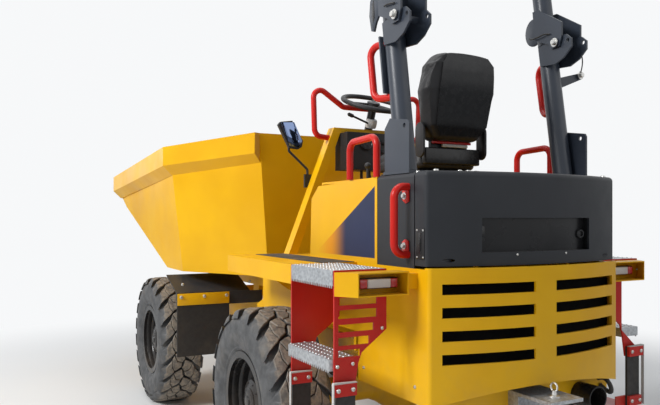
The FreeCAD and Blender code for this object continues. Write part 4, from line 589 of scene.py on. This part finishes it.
TYRE_SECTION = (
    # radius, distance from the middle of the tyre
    (0.2296, 0.1240),
    (0.2480, 0.1247),
    (0.2540, 0.1300),
    (0.2640, 0.1362),
    (0.2720, 0.1350),
    (0.3000, 0.1480),
    (0.3300, 0.1520),
    (0.3560, 0.1524),
    (0.3640, 0.1500),
    (0.3900, 0.1482),
    (0.4060, 0.1420),
    (0.4180, 0.1280),
    (0.4245, 0.1050),
    (0.4275, 0.0600),
)

LUG_BLOCKS = (
    # Corners as degrees round the tyre and millimetres from its middle line: the long outer block,
    # the block by it and the block at the middle line.
    ((28.6, 81), (39.5, 153), (51.5, 153), (47.5, 127), (44.5, 102), (42.0, 77), (39.6, 61), (35.2, 80)),
    ((24.2, 66), (28.0, 79), (34.6, 77.5), (39.0, 58), (37.3, 38), (35.3, 17), (31.6, 11), (30.2, 45)),
    ((22.6, 50), (23.5, 63), (29.5, 43), (31.0, 10), (27.2, -9), (25.0, 0), (20.0, 9), (21.0, 30)),
)


def lug_block(corners, side, turn):
    """One tread block: its outline is raised, its edges are rounded, and then it is wrapped round the tyre."""
    top = TYRE_RADIUS
    root = 0.412
    points = [(math.radians(degrees) * top, across / 1000 * side) for degrees, across in corners]
    mesh = outlined(points, top - root)
    crown = [face for face in mesh.faces if face.calc_center_median().z > (top - root) - 1e-4]
    bmesh.ops.inset_region(mesh, faces=crown, thickness=0.0035, depth=0.0, use_even_offset=True)
    outside = [vert for vert in mesh.verts if vert.co.z > top - root - 1e-5]
    flat = {vert for face in crown for vert in face.verts}
    for vert in outside:
        if vert not in flat:
            vert.co.z -= 0.004
    bmesh.ops.triangulate(mesh, faces=[face for face in mesh.faces if len(face.verts) > 4])
    long_edges = [edge for edge in mesh.edges if edge.calc_length() > 0.022]
    bmesh.ops.subdivide_edges(mesh, edges=long_edges, cuts=1, use_grid_fill=True)
    for vert in mesh.verts:
        across = abs(vert.co.y)
        height = vert.co.z / (top - root)
        # the crown falls away towards the shoulder, and a block's foot is wider than its top
        fall = 0.010 * max(0.0, (across - 0.075) / 0.06) ** 2
        fall += 0.030 * max(0.0, (across - 0.134) / 0.0185) ** 1.5
        radius = root + height * (top - root) - fall * height
        angle = vert.co.x / top + turn
        shoulder = min(across, 0.1525 - 0.0035 * (1 - height))
        vert.co = (-radius * math.sin(angle), math.copysign(shoulder, vert.co.y), radius * math.cos(angle))
    bmesh.ops.recalc_face_normals(mesh, faces=mesh.faces)
    return mesh


def tyre_mesh():
    """The carcass turned about the axle, with twenty lugs a side."""
    section = [(radius, -across) for radius, across in reversed(TYRE_SECTION)]
    profile = list(TYRE_SECTION) + section
    carcass = bmesh.new()
    verts = [carcass.verts.new((radius, across, 0)) for radius, across in profile]
    edges = [carcass.edges.new(pair) for pair in zip(verts, verts[1:] + verts[:1])]
    bmesh.ops.spin(carcass, geom=verts + edges, cent=(0, 0, 0), axis=(0, 1, 0), angle=math.tau,
                   steps=6 * LUG_COUNT, use_merge=True)
    bmesh.ops.remove_doubles(carcass, verts=carcass.verts, dist=1e-6)
    bmesh.ops.recalc_face_normals(carcass, faces=carcass.faces)
    parts = [(carcass, None)]
    for index in range(LUG_COUNT):
        for side, shift in ((1, 0.0), (-1, 0.5)):
            for corners in LUG_BLOCKS:
                parts.append((lug_block(corners, side, LUG_PITCH * (index + shift)), None))
    return joined(parts)


def make_tyres():
    mesh = tyre_mesh()
    data = bpy.data.meshes.new("tyre")
    mesh.to_mesh(data)
    mesh.free()
    for wheel in WHEELS:
        low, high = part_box("tyre_" + wheel)
        copy = bmesh.new()
        copy.from_mesh(data)
        centre = [(low[axis] + high[axis]) / 2 for axis in range(3)]
        bmesh.ops.translate(copy, verts=copy.verts, vec=centre)
        tyre = finished("tread_" + wheel, copy, FINISHES["tyre"], "wheel_" + wheel, smooth=0.5)
        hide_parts("tyre_" + wheel)
    bpy.data.meshes.remove(data)


make_tyres()


def hex_bolt(radius):
    """A washer under a six-sided head with a softened rim."""
    washer = lathe(((0, 0), (radius * 1.55, 0), (radius * 1.55, radius * 0.2), (0, radius * 0.2)), 16)
    head = bmesh.new()
    bmesh.ops.create_cone(head, cap_ends=True, segments=6, radius1=radius, radius2=radius, depth=radius)
    bmesh.ops.translate(head, verts=head.verts, vec=(0, 0, radius * 0.7))
    bevelled(head, radius * 0.12, 1)
    return joined([(washer, None), (head, None)])


def dome_bolt(radius):
    """A low domed head with a socket in its crown."""
    return lathe(((0, 0), (radius, 0), (radius, radius * 0.25), (radius * 0.85, radius * 0.5),
                  (radius * 0.45, radius * 0.66), (radius * 0.4, radius * 0.3), (0, radius * 0.3)), 12)


BOLTS = (
    # name, body, head, radius, the way it faces, on both sides or one, places
    ("clamp_bolts", "rear_chassis", dome_bolt, 0.0095, (-1, 0, 0), True,
     ((-1.472, 0.788, 0.670), (-1.472, 0.852, 0.670), (-1.864, 0.788, 0.704), (-1.864, 0.852, 0.704),
      (-1.864, 0.786, 0.462), (-1.864, 0.842, 0.462))),
    ("bracket_bolts", "rear_chassis", dome_bolt, 0.008, (-1, 0, 0), False,
     ((-1.838, 0.641, 0.925), (-1.838, 0.843, 0.790), (-1.838, 0.775, 0.796), (-1.446, 0.706, 0.690))),
    ("lid_top_bolts", "lid", dome_bolt, 0.011, (0, 0, 1), False,
     ((-1.961, 0.469, 1.548), (-1.958, 0.349, 1.548), (-1.960, 0.309, 1.548), (-1.942, 0.253, 1.548),
      (-1.871, -0.269, 1.548), (-1.961, -0.469, 1.548))),
    ("cover_top_bolts", "rear_chassis", dome_bolt, 0.011, (0, 0, 1), True,
     ((-1.872, 0.490, 1.545), (-1.872, 0.415, 1.545))),
    ("cover_handle_bolts", "rear_chassis", hex_bolt, 0.0095, (0, 1, 0), True,
     ((-1.831, 0.531, 1.451), (-1.829, 0.531, 1.248))),
    ("fold_bolts", "rear_chassis", hex_bolt, 0.0135, (0, 1, 0), True,
     ((-1.754, 0.530, 2.209),)),
    ("fold_bolts_inner", "rear_chassis", hex_bolt, 0.0135, (0, -1, 0), True,
     ((-1.754, 0.380, 2.200),)),
    ("mudflap_bolts", "front_chassis", dome_bolt, 0.012, (-1, 0, 0), True,
     ((0.185, 0.893, 0.850), (0.185, 0.740, 0.850), (0.185, 0.588, 0.850))),
    ("recess_screws", "lid", dome_bolt, 0.005, (-1, 0, 0), True,
     ((-2.056, 0.135, 1.214),)),
    ("lamp_box_bolts", "rear_chassis", dome_bolt, 0.007, (-1, 0, 0), True,
     ((-1.868, 0.815, 1.109),)),
    ("lower_panel_bolts", "rear_chassis", dome_bolt, 0.008, (0, 1, 0), True,
     ((-1.900, 0.525, 0.690), (-1.900, 0.525, 1.130), (-1.500, 0.525, 0.690), (-1.120, 0.525, 0.690))),
    ("floor_bolts", "front_chassis", dome_bolt, 0.010, (-1, 0, 0), True,
     ((0.200, 0.420, 0.930), (0.200, 0.880, 0.930))),
)


def make_bolts():
    for name, body, head, radius, way, paired, rows in BOLTS:
        mesh = joined([(head(radius), aimed(row, way)) for row in rows])
        if paired:
            both_sides(mesh)
        finished(name, mesh, ZINC, body)


make_bolts()


# Wheels

WHEEL_STEP = (
    # closed section of the stepped ring inside the rim: radius, distance from the middle of the tyre
    (0.2148, 0.112), (0.2095, 0.110), (0.2060, 0.100), (0.2050, 0.078), (0.1980, 0.071), (0.1945, 0.060),
    (0.1920, 0.036), (0.1840, 0.027), (0.1800, 0.0245), (0.2148, 0.0245),
)

HUB_CAP = (
    (0.0, 0.0955), (0.066, 0.0955), (0.066, 0.099), (0.060, 0.103), (0.030, 0.106), (0.026, 0.112),
    (0.012, 0.114), (0.0, 0.114),
)


def make_wheel_faces():
    """A stepped ring, a hub cap, a ring of studs and a ring of small domed bolts on every wheel."""
    for wheel in WHEELS:
        low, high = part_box("tyre_" + wheel)
        centre = (Vector(low) + Vector(high)) / 2
        out = 1 if wheel.endswith("left") else -1
        parts = [(ring_turned(WHEEL_STEP, 72), None), (lathe(HUB_CAP, 40), None)]
        for index in range(10):
            angle = math.tau * index / 10
            parts.append((hex_bolt(0.0105), place(0.150 * math.cos(angle), 0.150 * math.sin(angle), 0.024)))
            parts.append((dome_bolt(0.006), place(0.086 * math.cos(angle), 0.086 * math.sin(angle), 0.0895)))
        mesh = joined(parts)
        bmesh.ops.transform(mesh, matrix=aimed(centre, (0, out, 0)), verts=mesh.verts)
        finished("wheel_face_" + wheel, mesh, FINISHES["black_paint"], "wheel_" + wheel)


make_wheel_faces()


# Seat

SEAT_BACK = (
    # height, rear face, thickness, half width, half width of the rear shell
    (1.735, -1.508, 0.117, 0.136, 0.117),
    (1.801, -1.531, 0.131, 0.176, 0.154),
    (1.969, -1.570, 0.145, 0.2156, 0.163),
    (2.088, -1.585, 0.135, 0.200, 0.154),
    (2.146, -1.576, 0.104, 0.154, 0.123),
)
CUSHION_LOW = (-1.448, -0.189, 1.592)
CUSHION_HIGH = (-1.000, 0.189, 1.702)


def back_ring(height, rear, thickness, half, shell):
    corners = ((rear, shell), (rear + 0.37 * thickness, half), (rear + thickness, 0.93 * half))
    ring = [Vector((x, y, height)) for x, y in corners]
    return ring + [Vector((x, -y, height)) for x, y in reversed(corners)]


def back_form():
    """The leaning back, drawn up ring by ring from its foot."""
    mesh = bmesh.new()
    ring = back_ring(*SEAT_BACK[0])
    face = mesh.faces.new([mesh.verts.new(corner) for corner in ring])
    for row in SEAT_BACK[1:]:
        raised = bmesh.ops.extrude_face_region(mesh, geom=[face])
        face = next(item for item in raised["geom"] if isinstance(item, bmesh.types.BMFace)
                    and all(vert in raised["geom"] for vert in item.verts))
        above = back_ring(*row)
        nearest = [min(range(6), key=lambda index: (vert.co - ring[index]).length) for vert in face.verts]
        for vert, index in zip(face.verts, nearest):
            vert.co = above[index]
        ring = above
    bmesh.ops.recalc_face_normals(mesh, faces=mesh.faces)
    bevelled(mesh, 0.026, 3, 0.35)
    return mesh


def cushion_form():
    mesh = boxed(Vector(CUSHION_LOW) + Vector((0.008,) * 3), Vector(CUSHION_HIGH) - Vector((0.008,) * 3))
    upright = [edge for edge in mesh.edges if abs(edge.verts[0].co.z - edge.verts[1].co.z) > 0.01]
    bmesh.ops.bevel(mesh, geom=upright, offset=0.055, offset_type="OFFSET", segments=5, profile=0.5,
                    affect="EDGES", material=-1, clamp_overlap=True)
    bevelled(mesh, 0.024, 4, 0.5)
    return mesh


def shell_sheet():
    """The moulded panel on the rear of the back, with a raised rim."""
    mesh = bmesh.new()
    start = [mesh.verts.new((SEAT_BACK[0][1] - 0.011, side * SEAT_BACK[0][4], SEAT_BACK[0][0] + 0.02))
             for side in (-1, 1)]
    edge = mesh.edges.new(start)
    for height, rear, thickness, half, shell in SEAT_BACK[1:]:
        raised = bmesh.ops.extrude_edge_only(mesh, edges=[edge])["geom"]
        edge = next(item for item in raised if isinstance(item, bmesh.types.BMEdge))
        for vert in edge.verts:
            vert.co = (rear - 0.011, math.copysign(shell * 0.97, vert.co.y), min(height, 2.128))
    bmesh.ops.subdivide_edges(mesh, edges=mesh.edges[:], cuts=2, use_grid_fill=True)
    bmesh.ops.smooth_vert(mesh, verts=mesh.verts, factor=0.3, use_axis_x=True)
    bmesh.ops.inset_region(mesh, faces=mesh.faces[:], thickness=0.010, depth=-0.004, use_even_offset=True)
    bmesh.ops.recalc_face_normals(mesh, faces=mesh.faces)
    bmesh.ops.solidify(mesh, geom=mesh.faces[:], thickness=0.005)
    bmesh.ops.recalc_face_normals(mesh, faces=mesh.faces)
    return mesh


def blown(piece, held):
    """Remeshes the piece and lets cloth pressure crown it, with each point's move capped."""
    bpy.context.view_layer.objects.active = piece
    remesh = piece.modifiers.new("remesh", "REMESH")
    remesh.mode = "VOXEL"
    remesh.voxel_size = 0.006
    with bpy.context.temp_override(object=piece, active_object=piece, selected_objects=[piece]):
        bpy.ops.object.modifier_apply(modifier="remesh")
    before = [vert.co.copy() for vert in piece.data.vertices]
    group = piece.vertex_groups.new(name="held")
    group.add([index for index, co in enumerate(before) if held(co)], 1.0, "REPLACE")
    cloth = piece.modifiers.new("cloth", "CLOTH")
    cloth.settings.use_pressure = True
    cloth.settings.uniform_pressure_force = 4
    cloth.settings.effector_weights.gravity = 0
    cloth.settings.vertex_group_mass = "held"
    cloth.point_cache.frame_start = 1
    cloth.point_cache.frame_end = 20
    scene = bpy.context.scene
    for frame_number in range(1, 21):
        scene.frame_set(frame_number)
    shape = piece.evaluated_get(bpy.context.evaluated_depsgraph_get()).data
    after = [vert.co.copy() for vert in shape.vertices]
    piece.modifiers.remove(cloth)
    scene.frame_set(1)
    for vert, start, end in zip(piece.data.vertices, before, after):
        move = end - start
        vert.co = start + (move.normalized() * 0.008 if move.length > 0.008 else move)
    for face in piece.data.polygons:
        face.use_smooth = True
    smooth = piece.modifiers.new("smooth", "SUBSURF")
    smooth.levels = 1
    smooth.render_levels = 1


def make_seat():
    cover = FINISHES["seat_cover"]
    back = finished("seat_back_pad", back_form(), cover, "rear_chassis")
    blown(back, lambda co: co.z < 1.76 or co.x < -1.50 - 0.185 * (co.z - 1.735))
    cushion = finished("seat_cushion_pad", cushion_form(), cover, "rear_chassis")
    blown(cushion, lambda co: co.z < 1.63)
    for piece in (back, cushion):
        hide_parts("seat")
    finished("seat_shell", shell_sheet(), GLOSS_BLACK, "rear_chassis")
    stem = boxed((-1.438, -0.110, 1.682), (-1.413, 0.110, 1.745))
    hinge_cover = flat_plate([(-1.455 + 0.034 * math.cos(angle), 1.735 + 0.034 * math.sin(angle) + lift)
                              for lift, first in ((0.050, 0), (-0.050, 180))
                              for angle in [math.radians(first + 20 * step) for step in range(10)]],
                             "Y", 0.180, 0.194, 0.004)
    finished("seat_hinge_covers", joined([(bevelled(stem, 0.003), None), (both_sides(hinge_cover), None)]),
             FINISHES["black_plastic"], "rear_chassis")
    skirt = bevelled(boxed((-1.462, -0.172, 1.622), (-1.425, 0.160, 1.702)), 0.007, 3)
    finished("seat_skirt", skirt, GLOSS_BLACK, "rear_chassis")
    red = bevelled(boxed((-1.462, -0.115, 1.7225), (-1.452, 0.118, 1.7345)), 0.002)
    finished("belt_red", red, FINISHES["red"], "rear_chassis")
    white = bevelled(boxed((-1.466, -0.092, 1.7065), (-1.454, 0.062, 1.7215)), 0.003)
    finished("belt_pale", white, PALE_WEBBING, "rear_chassis")


make_seat()


# Hood

LATCH = (
    # the latch plate and its slot: X and Z of the low and high corners
    (-1.963, 1.199, -1.909, 1.321),
    (-1.956, 1.220, -1.919, 1.303),
)


def make_hood_details():
    (x0, z0, x1, z1), (x2, z2, x3, z3) = LATCH
    frame_points = [(x0, z0), (x1, z0), (x1, z1), (x0, z1)]
    plate = flat_plate(frame_points, "Y", 0.525, 0.5275, 0.0008)
    finished("latch_plates", both_sides(plate), FINISHES["black_plastic"], "lid")
    slot = flat_plate([(x2 + 0.010, z2), (x3 - 0.010, z2), (x3 - 0.010, z3), (x2 + 0.010, z3)],
                      "Y", 0.527, 0.5285, 0.0005)
    paddle = flat_plate([(x2 + 0.013, z2 + 0.012), (x3 - 0.013, z2 + 0.012), (x3 - 0.013, z3 - 0.022),
                         (x2 + 0.013, z3 - 0.022)], "Y", 0.528, 0.531, 0.001)
    finished("latch_slots", both_sides(joined([(slot, None), (paddle, None)])), GLOSS_BLACK, "lid")
    rivets = [(dome_bolt(0.0045), aimed((x, 0.527, z), (0, 1, 0))) for x in (x0 + 0.007, x1 - 0.007)
              for z in (z0 + 0.008, z1 - 0.008)]
    finished("latch_rivets", both_sides(joined(rivets)), ZINC, "lid")
    cap = lathe(((0, 0), (0.021, 0), (0.021, 0.008), (0.018, 0.012), (0.012, 0.012), (0.010, 0.006), (0, 0.006)), 24)
    finished("recess_cap", joined([(cap, aimed((-2.0096, -0.262, 1.293), (-1, 0, 0)))]), GLOSS_BLACK, "lid")
    notch = bevelled(boxed((-2.014, 0.268, 1.267), (-2.004, 0.296, 1.330)), 0.002)
    finished("recess_notch", notch, GLOSS_BLACK, "lid")
    tabs = flat_plate([(-1.862, 1.428), (-1.838, 1.420), (-1.816, 1.434), (-1.816, 1.470), (-1.836, 1.500),
                       (-1.860, 1.500)], "Y", 0.5255, 0.531, 0.001)
    lower = flat_plate([(-1.862, 1.204), (-1.836, 1.204), (-1.814, 1.232), (-1.814, 1.264), (-1.836, 1.276),
                        (-1.858, 1.268)], "Y", 0.5255, 0.531, 0.001)
    finished("cover_handle_tabs", both_sides(joined([(tabs, None), (lower, None)])), FINISHES["red"], "rear_chassis")
    # painted shade: a near-black sheet behind the grille slots stands in for the dark, shaded engine bay seen through
    # them
    painted_shade_sheet = boxed((-1.962, -0.495, 0.648), (-1.956, 0.495, 1.088))
    finished("grille_painted_shade_sheet", painted_shade_sheet, MATT_BLACK, "rear_chassis")


make_hood_details()


# Lamps

LAMP_LENSES = (
    # name, Y of its ends, finish
    ("outer", 0.7350, 0.7690, "lamp_red"),
    ("middle", 0.6280, 0.7340, "clear"),
    ("inner", 0.5960, 0.6270, "lamp_red"),
)


def make_lamps():
    housing = bevelled(boxed((-1.872, 0.5905, 1.086), (-1.843, 0.7805, 1.128)), 0.003)
    ends = [(dome_bolt(0.005), aimed((-1.872, y, 1.107), (-1, 0, 0))) for y in (0.7745, 0.5935)]
    body = joined([(housing, None)] + ends)
    finished_housing = finished("lamp_housings", both_sides(body), FINISHES["black_plastic"], "rear_chassis")
    for side in ("left", "right"):
        if "rear_lamps_" + side in NODES:
            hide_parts("rear_lamps_" + side)
    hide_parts("rear_lamps")
    for name, low, high, finish in LAMP_LENSES:
        lens = bevelled(boxed((-1.884, low, 1.089), (-1.866, high, 1.125)), 0.004, 3)
        finished("lens_" + name, both_sides(lens), CLEAR_LENS if finish == "clear" else FINISHES[finish],
                 "rear_chassis")


make_lamps()


# Steps and deck

def toothed_strip(start, end, top, low, pitch, depth):
    """The outline of a flange with a row of blunt teeth along its lower edge."""
    points = [(start, top), (start, low)]
    count = round((end - start) / pitch)
    step = (end - start) / count
    for index in range(count):
        left = start + step * index
        points += [(left + step * 0.30, low), (left + step * 0.45, low - depth), (left + step * 0.80, low - depth),
                   (left + step * 0.95, low)]
    return points + [(end, low), (end, top)]


def make_step_details():
    steel = FINISHES["steel"]
    top_outer = flat_plate(toothed_strip(-1.829, -1.447, 1.158, 1.100, 0.016, 0.010), "Y", 0.8562, 0.8585)
    mid_outer = flat_plate(toothed_strip(-1.829, -1.447, 0.816, 0.774, 0.018, 0.008), "Y", 0.8702, 0.8725)
    finished("tread_skirts", both_sides(joined([(top_outer, None), (mid_outer, None)])), steel, "rear_chassis")
    studs = []
    for z, y0, y1 in ((1.160, 0.640, 0.845), (0.818, 0.762, 0.860)):
        rows = round((y1 - y0) / 0.034)
        for row in range(rows + 1):
            for column in range(14):
                x = -1.815 + 0.0272 * column + (0.0136 if row % 2 else 0.0)
                cone = bmesh.new()
                bmesh.ops.create_cone(cone, cap_ends=True, segments=6, radius1=0.0055, radius2=0.0035, depth=0.0028)
                studs.append((cone, place(x, y0 + (y1 - y0) * row / rows, z + 0.0012)))
    finished("tread_studs", both_sides(joined(studs)), steel, "rear_chassis")
    edges = []
    for x, y0, y1, low, top in ((-1.458, 0.770, 0.870, 0.438, 0.6945), (-1.850, 0.770, 0.870, 0.438, 0.7285)):
        lip = flat_plate([(y0, top), (y0, top + 0.003), (y1, top + 0.006), (y1 + 0.003, top + 0.003),
                          (y1 + 0.003, low), (y1, low), (y1, top)], "X", x - 0.016, x - 0.0005)
        edges.append((lip, None))
    finished("strap_edges", both_sides(joined(edges)), PALE_WEBBING, "rear_chassis")
    grip = flat_plate([(-1.430, 0.534), (-0.640, 0.534), (-0.640, 0.705), (-1.430, 0.705)], "Z", 1.1601, 1.1625)
    finished("deck_grip", both_sides(grip), GRIT, "rear_chassis")


make_step_details()


def make_flap_strips():
    strip = bevelled(boxed((0.185, 0.569, 0.796), (0.1915, 0.917, 0.872)), 0.002)
    finished("flap_strips", both_sides(strip), FINISHES["yellow"], "front_chassis")


make_flap_strips()


# Roll bar details

def post_axis_x(height):
    return -1.736 + (height - 1.557) * 0.152


def make_roll_bar_details():
    bars = []
    for low, top in ((1.900, 2.155),):
        points = [(post_axis_x(low) + 0.040, low), (post_axis_x(low) + 0.052, low),
                  (post_axis_x(top) + 0.052, top), (post_axis_x(top) + 0.040, top)]
        bars.append((flat_plate(points, "Y", 0.462, 0.508, 0.0015), None))
    finished("handle_strips", both_sides(joined(bars)), FINISHES["roll_bar"], "rear_chassis")
    lug = flat_plate([(-1.540 + 0.056 * math.cos(angle), 2.306 + 0.070 * math.sin(angle))
                      for angle in [math.radians(15 * step) for step in range(24)]], "Y", -0.463, -0.453, 0.0015)
    hook = flat_plate([(-1.575, 2.392), (-1.510, 2.380), (-1.478, 2.345), (-1.470, 2.280), (-1.488, 2.208),
                       (-1.512, 2.200), (-1.530, 2.238), (-1.552, 2.262), (-1.575, 2.300)], "Y", 0.470, 0.480, 0.0015)
    # painted shade: a thin black sheet on the hook's face stands in for the dark inside its slot
    slot = flat_plate([(-1.512, 2.345), (-1.496, 2.330), (-1.492, 2.270), (-1.506, 2.240), (-1.520, 2.262)],
                      "Y", 0.4795, 0.4805, 0.0002)
    finished("roll_bar_hook_slot_painted_shade", slot, GLOSS_BLACK, "roll_bar")
    finished("roll_bar_hook", joined([(hook, None), (lug, None)]), FINISHES["roll_bar"], "roll_bar")
    stay = joined([(hex_bolt(0.013), aimed((-1.677, -0.640, 2.082), (-1, 0, 0)))])
    finished("stay_bolt", stay, ZINC, "rear_chassis")


make_roll_bar_details()


# Mirror, console and hitch

MIRROR_OUTLINE = ((0.548, 1.898), (0.466, 1.904), (0.416, 1.800), (0.438, 1.762), (0.496, 1.768))


def make_mirror():
    glass = flat_plate(MIRROR_OUTLINE, "X", -0.6245, -0.6215, 0.0008)
    finished("mirror_glass", glass, MIRROR, "rear_chassis")


def make_console_details():
    bezel = lathe(((0, 0), (0.040, 0), (0.042, 0.006), (0.037, 0.009), (0.034, 0.004), (0, 0.004)), 32)
    small = lathe(((0, 0), (0.016, 0), (0.016, 0.010), (0.010, 0.014), (0, 0.014)), 20)
    parts = [(bezel, aimed((-0.760, 0.075, 1.790), (-1, 0, 0.15))), (small, aimed((-0.760, -0.040, 1.800), (-1, 0, 0)))]
    for index in range(4):
        button = bevelled(boxed((-0.766, -0.130 + 0.028 * index, 1.735), (-0.758, -0.110 + 0.028 * index, 1.758)), 0.002)
        parts.append((button, None))
    stalk = lathe(((0, 0), (0.006, 0), (0.006, 0.130), (0.011, 0.135), (0.011, 0.165), (0.006, 0.172), (0, 0.172)), 12)
    parts.append((stalk, aimed((-0.700, 0.020, 1.915), (-0.25, 1, 0.25))))
    finished("console_controls", joined(parts), GLOSS_BLACK, "rear_chassis")
    joint = joined([(lathe(((0, 0), (0.030, 0), (0.033, 0.010), (0.033, 0.040), (0.027, 0.050), (0, 0.050)), 24),
                     aimed((-0.685, 0, 1.895), (-0.375, 0, 0.927)))])
    finished("column_joint", joint, PALE_WEBBING, "rear_chassis")


def make_hitch_pin():
    pin = lathe(((0, 0), (0.013, 0), (0.013, 0.105), (0.024, 0.107), (0.024, 0.115), (0.012, 0.118),
                 (0.009, 0.135), (0, 0.137)), 20)
    loop = ring_turned([(0.017 + 0.004 * math.cos(turn), 0.004 * math.sin(turn))
                        for turn in [math.tau * step / 8 for step in range(8)]], 20)
    finished("hitch_pin", joined([(pin, place(-2.120, 0, 0.530)), (loop, aimed((-2.120, 0, 0.678), (0, 1, 0)))]),
             ZINC, "rear_chassis")


make_mirror()
make_console_details()
make_hitch_pin()


# Cords

CORDS = (
    # name, body, half thickness, points from where it leaves the machine to where it goes back in
    ("lanyard_left", "roll_bar", 0.0035,
     ((-1.675, 0.528, 2.264), (-1.714, 0.536, 2.263), (-1.753, 0.528, 2.257))),
    ("lanyard_right", "roll_bar", 0.0035,
     ((-1.586, -0.384, 2.254), (-1.615, -0.373, 2.243), (-1.665, -0.373, 2.248), (-1.700, -0.374, 2.254),
      (-1.721, -0.384, 2.247))),
    ("stay_cord", "rear_chassis", 0.003,
     ((-1.678, -0.640, 2.096), (-1.705, -0.625, 2.125), (-1.745, -0.575, 2.165), (-1.765, -0.532, 2.180))),
    ("console_hose_a", "rear_chassis", 0.009,
     ((-0.700, 0.070, 1.640), (-0.705, 0.075, 1.540), (-0.690, 0.060, 1.400), (-0.680, 0.050, 1.270),
      (-0.680, 0.050, 1.164))),
    ("console_hose_b", "rear_chassis", 0.009,
     ((-0.700, 0.020, 1.640), (-0.710, 0.010, 1.530), (-0.700, 0.015, 1.400), (-0.685, 0.010, 1.270),
      (-0.680, 0.010, 1.164))),
    ("hitch_hose", "rear_chassis", 0.010,
     ((-1.950, -0.460, 0.600), (-1.985, -0.475, 0.570), (-2.015, -0.465, 0.580), (-2.015, -0.450, 0.620),
      (-1.985, -0.445, 0.645), (-1.950, -0.450, 0.630))),
)


def line_length(curve):
    """The real length of a cord's centre line."""
    line = curve.to_mesh()
    length = sum((line.vertices[edge.vertices[0]].co - line.vertices[edge.vertices[1]].co).length
                 for edge in line.edges)
    curve.to_mesh_clear()
    return length


def make_cords():
    for name, body, half, points in CORDS:
        data = bpy.data.curves.new(name, "CURVE")
        data.dimensions = "3D"
        spline = data.splines.new("NURBS")
        spline.points.add(len(points) - 1)
        for point, co in zip(spline.points, points):
            point.co = (*co, 1)
        spline.order_u = 3
        spline.use_endpoint_u = True
        spline.resolution_u = 8
        cord = bpy.data.objects.new(name, data)
        bpy.context.collection.objects.link(cord)
        length = line_length(cord)
        data.bevel_depth = half
        data.bevel_resolution = 3
        data.use_fill_caps = True
        data.materials.append(FINISHES["rubber"])
        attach(cord, body)


make_cords()


# Floor and light

WHITE = (0.93, 0.94, 0.95)

def make_floor():
    """A pale floor that keeps the shadow near the machine and turns plain white further out."""
    mesh = bmesh.new()
    bmesh.ops.create_grid(mesh, x_segments=1, y_segments=1, size=200)
    data = bpy.data.meshes.new("floor")
    mesh.to_mesh(data)
    mesh.free()
    floor = bpy.data.objects.new("floor", data)
    bpy.context.collection.objects.link(floor)
    paint = Paint("pale floor")
    paint.set(Base_Color=paint.mix(paint.noise(0.8, 3.0), (0.80, 0.80, 0.79), (0.83, 0.83, 0.82)))
    paint.set(Roughness=0.8)
    x = paint.axis("X")
    y = paint.axis("Y")
    across = paint.maths("SQRT", paint.maths("ADD", paint.maths("MULTIPLY", x, x), paint.maths("MULTIPLY", y, y)))
    path = paint.tree.nodes.new("ShaderNodeLightPath")
    far = paint.maths("MULTIPLY", paint.span(across, 2.6, 5.5), path.outputs["Is Camera Ray"])
    glow = paint.tree.nodes.new("ShaderNodeEmission")
    glow.inputs["Color"].default_value = (*WHITE, 1)
    mix = paint.tree.nodes.new("ShaderNodeMixShader")
    paint.link(far, mix.inputs["Fac"])
    paint.link(paint.shader.outputs["BSDF"], mix.inputs[1])
    paint.link(glow.outputs["Emission"], mix.inputs[2])
    paint.link(mix.outputs["Shader"], paint.tree.nodes["Material Output"].inputs["Surface"])
    data.materials.append(paint.material)


def make_world():
    """White where the camera looks, soft grey for the light."""
    world = bpy.data.worlds.new("studio")
    bpy.context.scene.world = world
    world.use_nodes = True
    tree = world.node_tree
    background = tree.nodes["Background"]
    background.inputs["Color"].default_value = (0.62, 0.68, 0.76, 1)
    background.inputs["Strength"].default_value = 0.34
    white = tree.nodes.new("ShaderNodeBackground")
    white.inputs["Color"].default_value = (*WHITE, 1)
    white.inputs["Strength"].default_value = 1.0
    path = tree.nodes.new("ShaderNodeLightPath")
    seen = path.outputs["Is Camera Ray"]
    for name in ("Is Glossy Ray", "Is Transmission Ray"):
        either = tree.nodes.new("ShaderNodeMath")
        either.operation = "MAXIMUM"
        tree.links.new(seen, either.inputs[0])
        tree.links.new(path.outputs[name], either.inputs[1])
        seen = either.outputs["Value"]
    mix = tree.nodes.new("ShaderNodeMixShader")
    tree.links.new(seen, mix.inputs["Fac"])
    tree.links.new(background.outputs["Background"], mix.inputs[1])
    tree.links.new(white.outputs["Background"], mix.inputs[2])
    tree.links.new(mix.outputs["Shader"], tree.nodes["World Output"].inputs["Surface"])


LIGHTS = (
    # name, place, size, power
    ("key", (-1.5, 8.0, 6.0), 2.5, 660),
    ("fill", (-7.0, -3.0, 4.0), 5.0, 45),
    ("top", (0.5, 1.0, 7.5), 5.0, 170),
    ("front", (7.0, 4.0, 4.0), 4.0, 45),
)


def make_lights():
    for name, place, size, power in LIGHTS:
        data = bpy.data.lights.new(name, "AREA")
        data.size = size
        data.energy = power
        lamp = bpy.data.objects.new(name, data)
        lamp.location = place
        lamp.rotation_euler = (Vector((-0.3, 0, 1.0)) - Vector(place)).to_track_quat("-Z", "Y").to_euler()
        bpy.context.collection.objects.link(lamp)


make_floor()
make_world()
make_lights()
